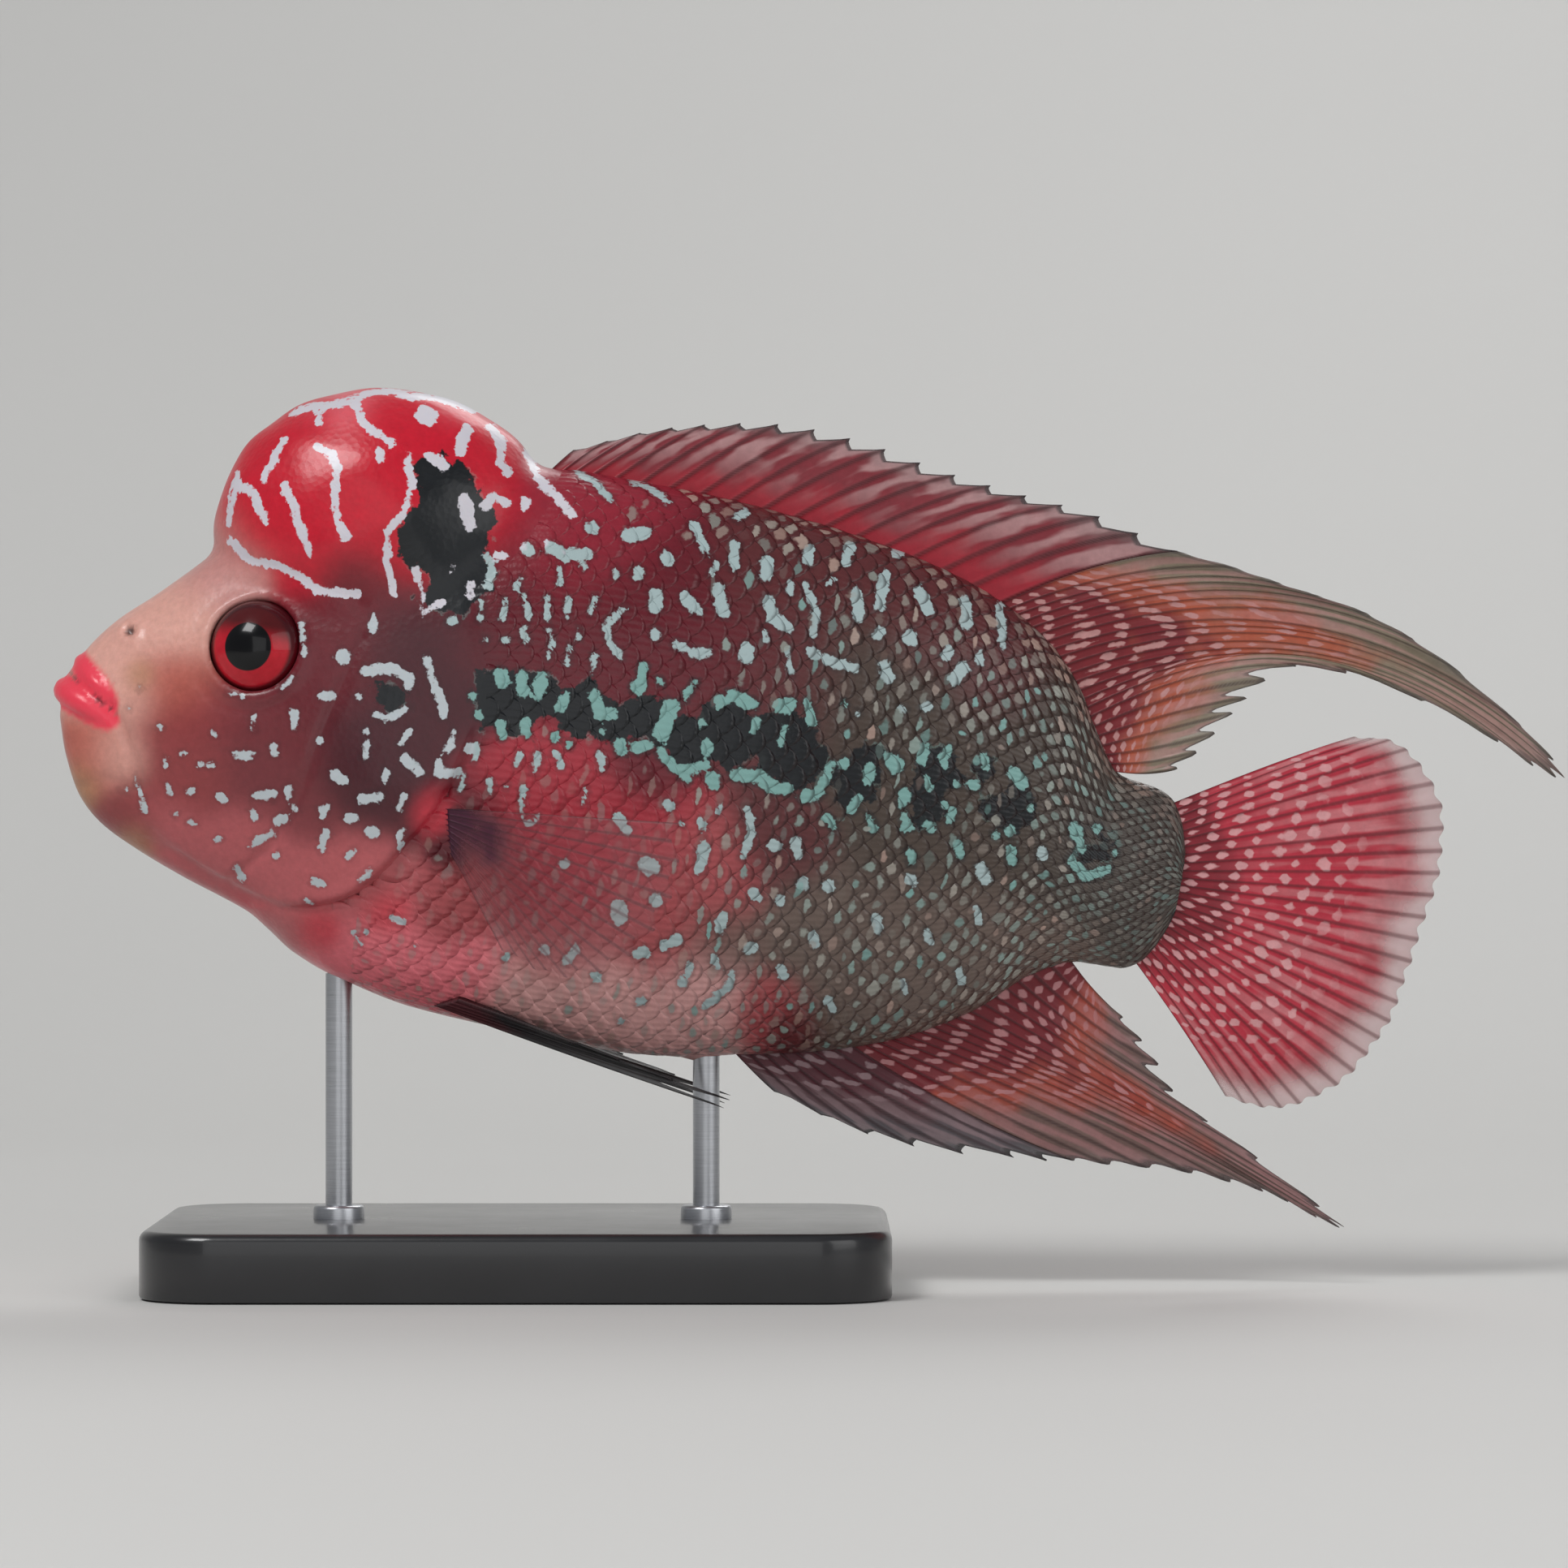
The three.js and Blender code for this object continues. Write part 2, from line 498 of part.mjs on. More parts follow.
// Materials and the assembled model
const paint = (color, roughness = 0.45, metalness = 0) =>
  new THREE.MeshStandardMaterial({ color, roughness, metalness });
const redSkin = paint(0x9c3440);
const humpSkin = paint(0xc4202f);
const rearSkin = paint(0x6a5048);
const lipSkin = paint(0xe2566a, 0.4);
const eyeGloss = paint(0x8f1020, 0.15);
const redFin = paint(0xa04a50, 0.5);
const greyFin = paint(0x55504f, 0.5);
const clearFin = paint(0xb98f8c, 0.5);
const blackLacquer = paint(0x1c1c1e, 0.35);
const steel = paint(0xb9bcc0, 0.3, 1);

function node(name, solid, material) {
  const mesh = new THREE.Mesh(geometryOf(largestOf(solid)), material);
  mesh.name = name;
  return mesh;
}

const fish = new THREE.Group();
fish.rotation.y = pitch;
fish.position.set(shiftX, 0, lift);
fish.add(
  node("head", head, redSkin),
  node("lower_jaw", jaw, redSkin),
  node("lip_upper", lipUpper, lipSkin),
  node("lip_lower", lipLower.subtract(lip(LIP_UPPER, GAP)), lipSkin),
  node("nuchal_hump", hump, humpSkin),
  node("gill_cover_left", gillBoth.intersect(leftHalf), redSkin),
  node("gill_cover_right", gillBoth.intersect(rightHalf), redSkin),
  node("eye_left", mirrored(eyeRight), eyeGloss),
  node("eye_right", eyeRight, eyeGloss),
  node("trunk", trunk, redSkin),
  node("tail_stalk", stalk, rearSkin),
  node("dorsal_fin_spiny", dorsalSpiny, redFin),
  node("dorsal_fin_soft", dorsalSoft, redFin),
  node("dorsal_fin_streamer", dorsalStreamer, greyFin),
  node("anal_fin_spiny", analSpiny, greyFin),
  node("anal_fin_soft", analSoft, redFin),
  node("caudal_fin", caudal, redFin),
  node("pectoral_fin_left", pectoralLeft, clearFin),
  node("pectoral_fin_right", mirrored(pectoralLeft), clearFin),
  node("pelvic_fin_left", pelvicLeft, greyFin),
  node("pelvic_fin_right", mirrored(pelvicLeft), greyFin),
);

const model = new THREE.Group();
model.add(
  fish,
  node("stand_base", standBase(), blackLacquer),
  node("stand_rod_front", standRod(bellyPoints[0]), steel),
  node("stand_rod_rear", standRod(bellyPoints[1]), steel),
);

export default model;
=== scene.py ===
"""Dresses the flowerhorn cichlid: one skin, its coat of scales, eyes, rayed fins and the display stand.

Shapes are worked out in the fish's own frame, in millimetres: nose at x = 0, tail towards +x, back
towards +z, and the fish's left side towards -y. to_world() pitches them nose up and sets them on the stand.
"""

import math

import bmesh
import bpy
import numpy as np
from mathutils import Euler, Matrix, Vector


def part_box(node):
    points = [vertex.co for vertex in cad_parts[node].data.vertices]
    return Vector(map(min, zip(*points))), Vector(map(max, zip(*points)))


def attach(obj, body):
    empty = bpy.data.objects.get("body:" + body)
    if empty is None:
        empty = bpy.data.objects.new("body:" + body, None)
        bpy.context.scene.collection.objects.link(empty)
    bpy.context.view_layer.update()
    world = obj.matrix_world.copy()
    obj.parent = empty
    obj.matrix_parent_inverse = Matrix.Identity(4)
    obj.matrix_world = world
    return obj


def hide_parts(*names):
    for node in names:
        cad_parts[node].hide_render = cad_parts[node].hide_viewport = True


bl_info = {
    "name": "Flowerhorn Cichlid",
    "version": (1, 0, 0),
    "blender": (4, 5, 0),
    "location": "View3D > Sidebar > Flowerhorn",
    "description": "Builds the skin, scales, eyes, fins and stand of a life-size flowerhorn cichlid",
    "category": "Add Mesh",
}

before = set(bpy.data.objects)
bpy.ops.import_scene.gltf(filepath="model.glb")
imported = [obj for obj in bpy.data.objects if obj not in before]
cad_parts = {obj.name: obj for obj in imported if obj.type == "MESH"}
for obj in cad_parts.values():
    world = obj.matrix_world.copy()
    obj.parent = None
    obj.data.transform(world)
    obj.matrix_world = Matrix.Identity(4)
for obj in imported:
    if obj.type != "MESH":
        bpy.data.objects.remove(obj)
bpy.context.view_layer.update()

MM = 0.001
PITCH = math.radians(10)
FISH_AT = np.array([-135.513, 0.0, 105.272])
PHOTO_NOSE = (68, 862)
PHOTO_MM = 0.146

BACK = [
    (1.6, 5.2), (3, 8), (5.5, 12.2), (9.2, 16.7), (14.3, 21.4), (19.3, 26.4), (23.5, 30.6), (32, 36),
    (45, 42.5), (60, 48.6), (78, 55.6), (86, 57.2), (106, 57), (128, 55.4), (142, 53.4), (154, 50.8),
    (164, 47.3), (174, 41.6), (181, 34.5), (185.5, 27), (191, 20), (198, 18.8), (201, 17.4),
    (203.5, 13.5), (205.4, 7),
]
BELLY = [
    (1.6, -3.4), (3.5, -9), (7.7, -16.6), (12, -20.4), (17.7, -23.3), (28.9, -27.6), (35.3, -29.6),
    (41, -31.6), (45, -34), (50, -37.2), (61, -41.2), (73, -43.6), (85, -44.4), (97, -44.8), (109, -45),
    (121, -44), (131.4, -41.8), (145, -38.9), (159, -34.2), (172.6, -26.4), (181.4, -18.4),
    (189.6, -14.6), (197, -14.4), (200.5, -12.6), (203.4, -8), (205.4, -2),
]
HALF_WIDTH = [
    (1.6, 4.2), (4, 6.4), (9, 9.4), (16, 12.6), (26, 16), (36, 18.4), (50, 21), (66, 22.8), (80, 23.5),
    (96, 23.3), (112, 22.2), (128, 20.2), (144, 17.4), (160, 14), (174, 10.6), (186, 7.6), (196, 5.4),
    (205.4, 2.6),
]
SQUARENESS = 1.07
BODY_ENDS = (1.6, 205.4)

GILL_EDGE = [
    (40, -36), (42.5, -31), (51, -29), (60, -25), (67.4, -15.5), (74, -2.6), (76, 10), (72, 26), (69, 32),
]
CHEEK_EDGE = [(37, -26.5), (45.5, -16), (49.8, 3), (53.6, 20.5)]
HUMP = {"centre": (53.3, 0, 40), "radii": (30.6, 20.5, 25.9), "tilt": math.radians(-8)}
EYE = {"centre": (35.4, 14.6, 15.3), "radii": (8.5, 6, 8.5), "swing": math.radians(14)}
PUPIL_RADIUS = 4.3
IRIS_RADIUS = 7.5
NOSTRIL = (11.8, 14.4)
VENT = (125.7, -43.4)
LIPS = {
    "upper": {"corner": (11.8, 9.3, 1.4), "side": (7, 7.2, 4.6), "front": (3.9, 0, 7.4), "radius": 1.7},
    "lower": {"corner": (11.4, 9.1, -2), "side": (5, 6.6, 0.7), "front": (1.9, 0, 2), "radius": 2.5},
}

# Folds pressed into the skin: the line in the side view, how deep and how wide
FOLDS = [
    ([(11, 0.6), (14.6, -4.2), (17.2, -9), (18.6, -13)], 0.9, 0.9),
    ([(19.5, -2), (20.6, -7.4), (20.2, -13)], 0.35, 0.9),
    ([(8, -14.6), (14, -12.4), (20.5, -15)], 0.3, 1.2),
    ([(22.5, 30.8), (35.7, 29.6), (44.2, 28.2), (51.8, 27)], 0.3, 1.5),
    (CHEEK_EDGE, 0.45, 0.8),
    ([(73.5, -3.8), (70.6, -6.7), (68.6, -10.7), (67.6, -16.6), (65.3, -21.7), (60.7, -25.0),
     (53.5, -28.2), (45.9, -29.3), (37.8, -27.6), (29.6, -24.9), (21.3, -22.2)], 0.5, 0.9),
    ([(22, -20.5), (31.7, -26.2), (41, -29.6)], 0.4, 1.1),
    ([(26, 8), (30, 4.6), (36, 4), (42, 6.6)], 0.25, 1.1),
]

# Fins, in the same terms as the solids: root and tip lines through [x, z], or [x, y, z], points
FINS = {
    "dorsal_fin_spiny": {
        "root": [(80.5, 56), (87, 57.2), (97, 57.2), (110, 56.8), (124, 55.8), (138, 54), (151, 51.5),
                 (165, 47)],
        "tip": [
            (84, 60.4), (96, 65.8), (108, 69.4), (122, 71.6), (136, 70.8), (150, 68.3), (164, 66.6),
            (178.4, 65.2),
            (194, 61.2),
        ],
        "rays": 18, "bow": [0.05, 0.08, 0.11], "bow_along": (0, 0, 1), "notch": [0.12, 0.14, 0.1],
        "spiny": True,
        "sway": [0, 0, 0, -3],
        "thickness": (2.2, 0.5), "replaces": ["dorsal_fin_spiny"],
    },
    "dorsal_fin_soft": {
        "root": [(165, 47), (169.5, 44.4), (174, 41.4), (178, 37.8), (181.4, 33.8), (184, 29.4),
                 (187, 24.6), (190.6, 20.2)],
        "tip": [
            (194, 61.2), (208.4, 59.4), (219.4, 57.9), (233, 54.7), (246.6, 49.4), (263.6, 38.6),
            (269.6, 33.2),
            (265.8, 33.6), (255.9, 37.6), (232.9, 44.6), (218.4, 44.6), (212.1, 39), (208.8, 34.3),
            (205.1, 28),
            (200.4, 22.9),
        ],
        "rays": 22, "bow": [0.11, 0.174, 0.239, 0.324, 0.302, 0.152, 0, -0.157], "bow_along": (0, 0, 1),
        "notch": [0.02, 0.03, 0.03, 0.03, 0.12, 0.2, 0.2], "sway": [-3, -3], "thickness": (2.2, 0.5),
        "replaces": ["dorsal_fin_soft", "dorsal_fin_streamer"],
    },
    "anal_fin_spiny": {
        "root": [(131.6, -41.5), (138, -40.5), (144.5, -39), (152.4, -36.6)],
        "tip": [(139.6, -47), (155.4, -51.3), (170.5, -52.4), (186, -51), (194.5, -50)],
        "rays": 8, "bow": [0.04, 0.06, 0.06], "bow_along": (0, 0, -1), "notch": [0.12, 0.14, 0.06],
        "spiny": True,
        "sway": [0, 0, 0, 2],
        "thickness": (2, 0.5), "replaces": ["anal_fin_spiny"],
    },
    "anal_fin_soft": {
        "root": [(152.4, -36.6), (158.5, -34.4), (164.5, -31.4), (170, -28.2), (175.4, -23.8),
                 (180.4, -19.4), (188.6, -15)],
        "tip": [
            (194.5, -50), (205, -49.2), (217.2, -48.6), (228.1, -49.3), (236, -51.2), (244.2, -53.5),
            (242.9, -51.9),
            (224.4, -42.3), (211.4, -35.1), (205.5, -28.6), (199, -22.6),
        ],
        "rays": 17, "bow": [0.06, -0.04, -0.048, -0.011, 0.055, 0.134], "bow_along": (0, 0, -1),
        "notch": [0.05, 0.04, 0.04, 0.12, 0.16], "sway": [2, 2], "thickness": (2, 0.5),
        "replaces": ["anal_fin_soft"],
    },
    "caudal_fin": {
        "root": [(200.6, 16.2), (203.6, 10), (205, 3), (205, -3), (203.4, -8.4), (199.6, -12.8)],
        "tip": [
            (231.6, 34), (238, 34.6), (244.4, 31.4), (249.4, 24.6), (251, 16.6), (250.8, 8.4), (249.4, 0),
            (248.4, -8),
            (246.9, -15.4), (244, -22), (239.6, -28.4), (233.4, -32.8), (227, -34.8), (220, -33.6),
        ],
        "rays": 27, "bow": [0.03, 0, 0.03], "bow_along": (0, 0, 1), "notch": [0.012, 0.02, 0.016],
        "sway": [5, 5],
        "thickness": (2.2, 0.5), "replaces": ["caudal_fin"],
    },
}
PECTORAL = {"root_top": (75.4, -6.6), "root_bottom": (77.2, -15.6), "longest": 46,
            "flare": math.radians(25), "rays": 9}
PELVIC = {
    "root": [(79.6, -6.4, -42), (81.4, -8.6, -41.4), (83.6, -10.6, -40.4)],
    "tip": [(131.2, -9.6, -51), (132, -9.2, -49.4), (121, -9.8, -47.6), (111, -10.8, -45.6),
            (103, -12, -44)],
    "rays": 5,
}

# Paint areas of the coat by colour: photograph x and y of the middle, and reach in pixels
COAT_AREAS = {
    "hump_red": [(430, 540, 120), (560, 640, 60), (330, 640, 44), (385, 705, 28)],
    "crest_wine": [(740, 640, 60), (690, 690, 50), (715, 595, 40)],
    "brow_pink": [(262, 690, 46), (305, 716, 26)],
    "snout_tan": [(205, 760, 50), (120, 830, 40), (170, 860, 30), (150, 930, 30)],
    "chin_brown": [(115, 930, 34), (218, 845, 34)],
    "olive_tan": [(100, 965, 22), (180, 835, 16), (170, 1040, 20)],
    "cheek_mauve": [(165, 1000, 34), (230, 900, 50), (250, 960, 36)],
    "cheek_pink": [(285, 1085, 58), (375, 1085, 50), (455, 1085, 40), (210, 1025, 34), (300, 1030, 30)],
    "cheek_wine": [(330, 940, 60), (390, 1010, 26)],
    "gill_red": [(400, 800, 60), (440, 740, 40)],
    "gill_wine": [(510, 790, 50), (480, 940, 60), (590, 1000, 30), (570, 860, 40), (580, 790, 40),
                  (562, 1045, 18)],
    # The gill_flap and breast_pink spots at y 505 lie on the hump's top and make it lighter and pinker: a
    # painted highlight
    "gill_flap": [(300, 1124, 22), (400, 1140, 20), (480, 1122, 22), (545, 1000, 20), (390, 505, 20),
                  (560, 505, 20)],
    "breast_pink": [(470, 1195, 56), (575, 1205, 36), (430, 505, 26)],
    "belly_buff": [(640, 1245, 44), (715, 1225, 40), (770, 1290, 66), (870, 1215, 36)],
    "flank_red": [(680, 780, 60), (800, 760, 80), (635, 735, 60), (900, 800, 50), (800, 950, 30),
                  (600, 800, 30)],
    "flank_wine": [(650, 1000, 60), (760, 1040, 60), (700, 1100, 40)],
    "flank_rose": [(830, 1120, 60), (885, 1075, 40), (600, 1090, 36), (700, 1160, 40), (555, 1125, 30),
                   (950, 1235, 30)],
    "rear_wine": [(960, 840, 60), (1110, 690, 60), (1250, 740, 50), (960, 1040, 40), (960, 730, 60),
                  (1140, 780, 40), (1225, 840, 40), (975, 1262, 20)],
    "rear_brown": [(1080, 870, 70), (1250, 940, 80), (1150, 1020, 70)],
    "rear_buff": [(1000, 1150, 50), (1130, 1150, 70), (1060, 1210, 50), (1230, 1190, 40), (890, 1160, 36),
                  (1300, 1200, 40)],
    "stalk_grey": [(1380, 960, 90), (1440, 1090, 70)],
}

# Marks painted on the skin and scales, in photograph pixels: half width, then the x and y of each point
HUMP_STROKES = [
    (6, 439, 497, 454, 488, 470, 484, 494, 485, 509, 491, 546, 491, 564, 498, 583, 507),
    (6, 442, 499, 451, 522, 466, 537, 491, 551), (6, 365, 511, 390, 502, 405, 504, 433, 497),
    (5, 393, 504, 398, 525), (6, 355, 545, 346, 562, 332, 595),
    (6, 301, 603, 320, 611, 326, 629, 335, 646), (5, 297, 586, 292, 614, 286, 647),
    (6, 359, 603, 369, 626, 378, 654, 390, 684),
    (6, 399, 556, 417, 565, 424, 580, 421, 617, 424, 647, 436, 666),
    (6, 289, 669, 320, 696, 347, 698, 375, 712, 399, 730, 448, 736), (6, 474, 562, 475, 570),
    (13, 527, 514, 531, 518), (8, 578, 534, 571, 559), (6, 607, 528, 621, 550, 620, 571, 630, 586),
    (5, 509, 565, 515, 602, 503, 641, 485, 660, 485, 696, 494, 736), (8, 579, 620, 583, 652),
    (4, 563, 700, 563, 708), (6, 601, 629, 613, 614, 629, 623), (6, 650, 620, 650, 630),
    (6, 650, 559, 665, 592, 684, 611, 708, 638), (6, 650, 678, 656, 682),
    (6, 678, 675, 693, 684, 717, 690), (7, 534, 566, 554, 580), (6, 586, 724, 584, 738),
    (4, 520, 704, 526, 730, 528, 760), (5, 532, 756, 552, 746), (6, 618, 688, 628, 690),
    (6, 508, 572, 514, 600),
]
HEAD_STROKES = [
    (4, 380, 772, 384, 807), (3, 355, 851, 370, 837), (3, 290, 854, 308, 860), (9, 431, 810, 432, 814),
    (5, 469, 763, 467, 779), (6, 408, 860, 418, 859), (5, 451, 860),
    (7, 460, 828, 478, 826, 495, 828, 511, 837, 513, 847), (5, 473, 881, 487, 886, 501, 881, 510, 872),
    (5, 534, 812, 538, 832, 545, 851, 552, 868, 555, 884), (5, 460, 902, 461, 917, 459, 935),
    (4.5, 513, 902, 504, 916), (5, 566, 903, 560, 926), (8, 587, 923), (7, 509, 935, 523, 951),
    (6, 548, 940, 550, 954, 571, 951), (5, 372, 879, 372, 896), (6, 348, 921, 348, 928), (6, 404, 912),
    (7, 421, 955, 433, 960), (5, 485, 950, 483, 961), (5, 301, 931, 322, 931), (5, 273, 905),
    (5, 206, 897), (4, 234, 928), (3, 256, 943, 270, 943), (3, 212, 935, 214, 944),
    (4, 322, 885, 322, 900), (5, 217, 970, 217, 977), (6, 244, 975), (6, 280, 980, 285, 986),
    (6, 324, 979, 346, 979), (5, 363, 973, 366, 982), (6, 372, 996), (7, 353, 1012, 358, 1008),
    (5, 319, 1000, 322, 1008), (5, 343, 1026, 330, 1032, 318, 1042), (5, 348, 1052),
    (5, 407, 1004, 406, 996, 412, 995), (6, 438, 1009, 445, 1008), (6, 455, 984, 480, 981),
    (4.5, 506, 979, 501, 995), (6, 464, 1024, 471, 1025), (6, 411, 1024, 406, 1042),
    (6, 439, 1051, 443, 1047), (4, 504, 1023, 499, 1031, 503, 1046), (5, 464, 1072, 453, 1082),
    (5, 394, 1084, 404, 1087), (4, 384, 1107, 392, 1109), (5, 297, 1070, 304, 1081), (5, 276, 1033),
    (3.5, 241, 1012, 248, 1015), (4, 224, 1003), (3.5, 174, 958, 185, 998), (3, 153, 973, 162, 974),
    (3.5, 181, 848), (3, 168, 874), (4, 441, 1148), (4, 457, 1146), (4, 450, 1160),
    (5, 488, 1128, 503, 1133), (3, 518, 1163),
]
FLANK_STROKES = [
    (9, 732, 654), (9, 655, 681), (10, 824, 691), (9, 788, 709), (10, 1105, 679),
    (10, 776, 664, 795, 659), (8, 681, 678, 700, 688, 727, 686), (5, 715, 690, 724, 702),
    (4, 761, 705, 760, 716), (5, 883, 699, 877, 708), (7, 907, 674, 905, 700), (7, 857, 652, 870, 680),
    (9, 946, 696, 944, 711), (8, 997, 678, 995, 694), (7, 1048, 674, 1040, 696), (10, 810, 738, 810, 750),
    (7, 844, 738, 863, 757), (8, 885, 728, 892, 757), (8, 948, 742, 952, 765, 972, 774),
    (5, 990, 724, 1000, 742, 1006, 758, 1001, 786), (5, 974, 722, 974, 732), (5, 1025, 716, 1020, 724),
    (8, 1054, 730, 1057, 762), (8, 1089, 712, 1083, 748), (9, 1131, 730, 1143, 752),
    (8, 1188, 740, 1190, 769), (6, 1231, 746, 1234, 796), (9, 1120, 786, 1120, 790),
    (6, 1083, 780, 1079, 786), (6, 1168, 800, 1164, 811), (9, 1186, 825, 1175, 837),
    (7, 1205, 809, 1205, 815), (8, 1089, 822, 1093, 836), (7, 1018, 814, 1035, 822, 1052, 824),
    (7, 998, 805, 1005, 810), (9, 921, 800, 920, 812), (7, 858, 806, 872, 808), (7, 836, 798, 843, 801),
    (6, 811, 782, 809, 788), (5, 771, 754, 751, 773, 754, 793, 768, 812), (4, 646, 718, 640, 728),
    (4, 693, 704, 694, 722), (6, 603, 690, 612, 700, 606, 726), (8, 565, 768), (4, 599, 740, 598, 766),
    (4, 628, 742, 625, 766), (4, 651, 738, 656, 764), (4, 679, 740, 680, 764), (4, 706, 742, 702, 764),
    (5, 737, 740, 731, 758), (5, 604, 792), (5, 630, 792), (5, 650, 780, 655, 792),
    (4, 682, 780, 686, 798, 680, 812), (4, 718, 776, 717, 790), (4, 707, 800, 704, 820),
    (4, 737, 808, 734, 828), (4, 942, 780, 944, 790), (4, 969, 802, 974, 830), (4, 994, 800),
    (7, 1139, 872), (6, 1110, 876), (5, 1056, 880), (8, 827, 991), (7, 766, 1006, 776, 1023),
    (11, 797, 1064, 806, 1066), (8, 863, 1069, 870, 1042), (6, 921, 996, 928, 1023, 916, 1052),
    (9, 955, 1041), (7, 980, 1035, 984, 1052), (10, 766, 1116, 766, 1128), (9, 811, 1108),
    (8, 892, 1128, 888, 1142), (9, 989, 1086), (9, 1020, 1091), (7, 960, 1108), (9, 926, 1166),
    (7, 820, 1162, 838, 1154), (8, 790, 1173, 797, 1172), (6, 700, 1182, 714, 1166), (7, 674, 1168),
    (8, 739, 1202), (6, 628, 1176), (6, 842, 1210, 852, 1188), (5, 870, 1236, 900, 1212, 903, 1196),
    (7, 790, 1231), (6, 768, 1256), (7, 701, 1062), (8, 1205, 1067, 1212, 1081), (9, 1122, 1084),
    (9, 1282, 1052), (5, 594, 920, 592, 936), (5, 568, 1000, 566, 1020), (4, 578, 958, 574, 974),
    (5, 646, 930, 643, 944), (5, 668, 930, 664, 950), (4, 690, 930, 698, 946), (4, 610, 964, 611, 976),
    (4, 630, 968), (4, 651, 972, 648, 1000, 656, 1014, 668, 1008), (4, 748, 950), (4, 744, 930, 746, 944),
    (4, 727, 973, 722, 988), (4, 842, 1014), (5, 866, 1010, 868, 1020), (4, 890, 990, 886, 1000),
    (5, 704, 574, 728, 592, 754, 618), (5, 778, 594, 802, 602, 824, 622), (6, 908, 640, 920, 632),
    (6, 930, 1096, 934, 1106), (6, 1000, 1148, 1004, 1160), (7, 1078, 1130, 1080, 1142),
    (6, 1140, 1146, 1144, 1158), (6, 1200, 1120, 1204, 1134), (6, 1020, 1230, 1026, 1240),
    (6, 1110, 1210, 1114, 1220), (6, 960, 1190, 966, 1200), (6, 1180, 1196, 1184, 1208),
    (5, 880, 1176, 884, 1188),
]
BAND_STROKES = [
    (9, 623, 834, 626, 842), (9, 648, 838, 652, 856), (8, 674, 836, 668, 858), (7, 702, 860, 694, 874),
    (8, 737, 858, 744, 878), (9, 744, 880, 758, 882), (6, 796, 824, 790, 846), (10, 790, 848),
    (6, 816, 842), (10, 830, 872, 817, 906), (5, 846, 862, 858, 842), (8, 888, 868, 905, 858, 928, 870),
    (7, 866, 892), (6, 748, 902), (10, 960, 872, 972, 870), (7, 994, 868, 1000, 890),
    (7, 872, 918, 872, 926), (6, 932, 888, 928, 904), (5, 966, 898, 962, 916), (5, 1040, 870),
    (8, 767, 918, 770, 926), (8, 788, 922, 800, 920), (7, 817, 926, 832, 944), (6, 840, 948, 848, 960),
    (7, 852, 948, 872, 940), (11, 880, 962), (9, 909, 954, 935, 958, 955, 970), (9, 970, 972),
    (9, 994, 980, 1008, 976), (6, 1012, 966, 1024, 940), (8, 1038, 940), (8, 1070, 946, 1068, 962),
    (7, 1048, 996, 1056, 984), (10, 1096, 936, 1104, 944), (7, 1133, 936, 1138, 922), (8, 1166, 926),
    (8, 1113, 979, 1110, 990), (8, 1144, 1018), (7, 1118, 1018), (6, 1160, 990), (9, 1197, 967),
    (8, 1246, 950, 1258, 966), (8, 1243, 1023), (6, 1268, 996), (6, 1224, 1028), (6, 623, 893, 625, 908),
    (6, 654, 890, 654, 904), (5, 590, 858), (6, 597, 884), (6, 706, 918), (6, 690, 910),
    (5, 1017, 1006, 1028, 1022), (8, 1322, 1018, 1330, 1042), (6, 1350, 1020),
    (7, 1318, 1060, 1336, 1078, 1362, 1072), (5, 1372, 1050), (5, 1158, 930, 1162, 944), (6, 1178, 966),
    (5, 1140, 958, 1143, 972), (5, 1172, 998, 1167, 1012), (6, 1112, 1004, 1114, 1020),
    (5, 1208, 930, 1212, 944), (6, 1118, 1048, 1122, 1060), (7, 1176, 1040, 1180, 1052),
    (6, 1242, 1046, 1246, 1060), (5, 1070, 1006, 1074, 1020),
]
# Each list of strokes with how deep its colour is, from pale to blue green
STROKE_DEPTHS = ((HUMP_STROKES, 0.0), (HEAD_STROKES, 0.35), (FLANK_STROKES, 0.6), (BAND_STROKES, 1.0))
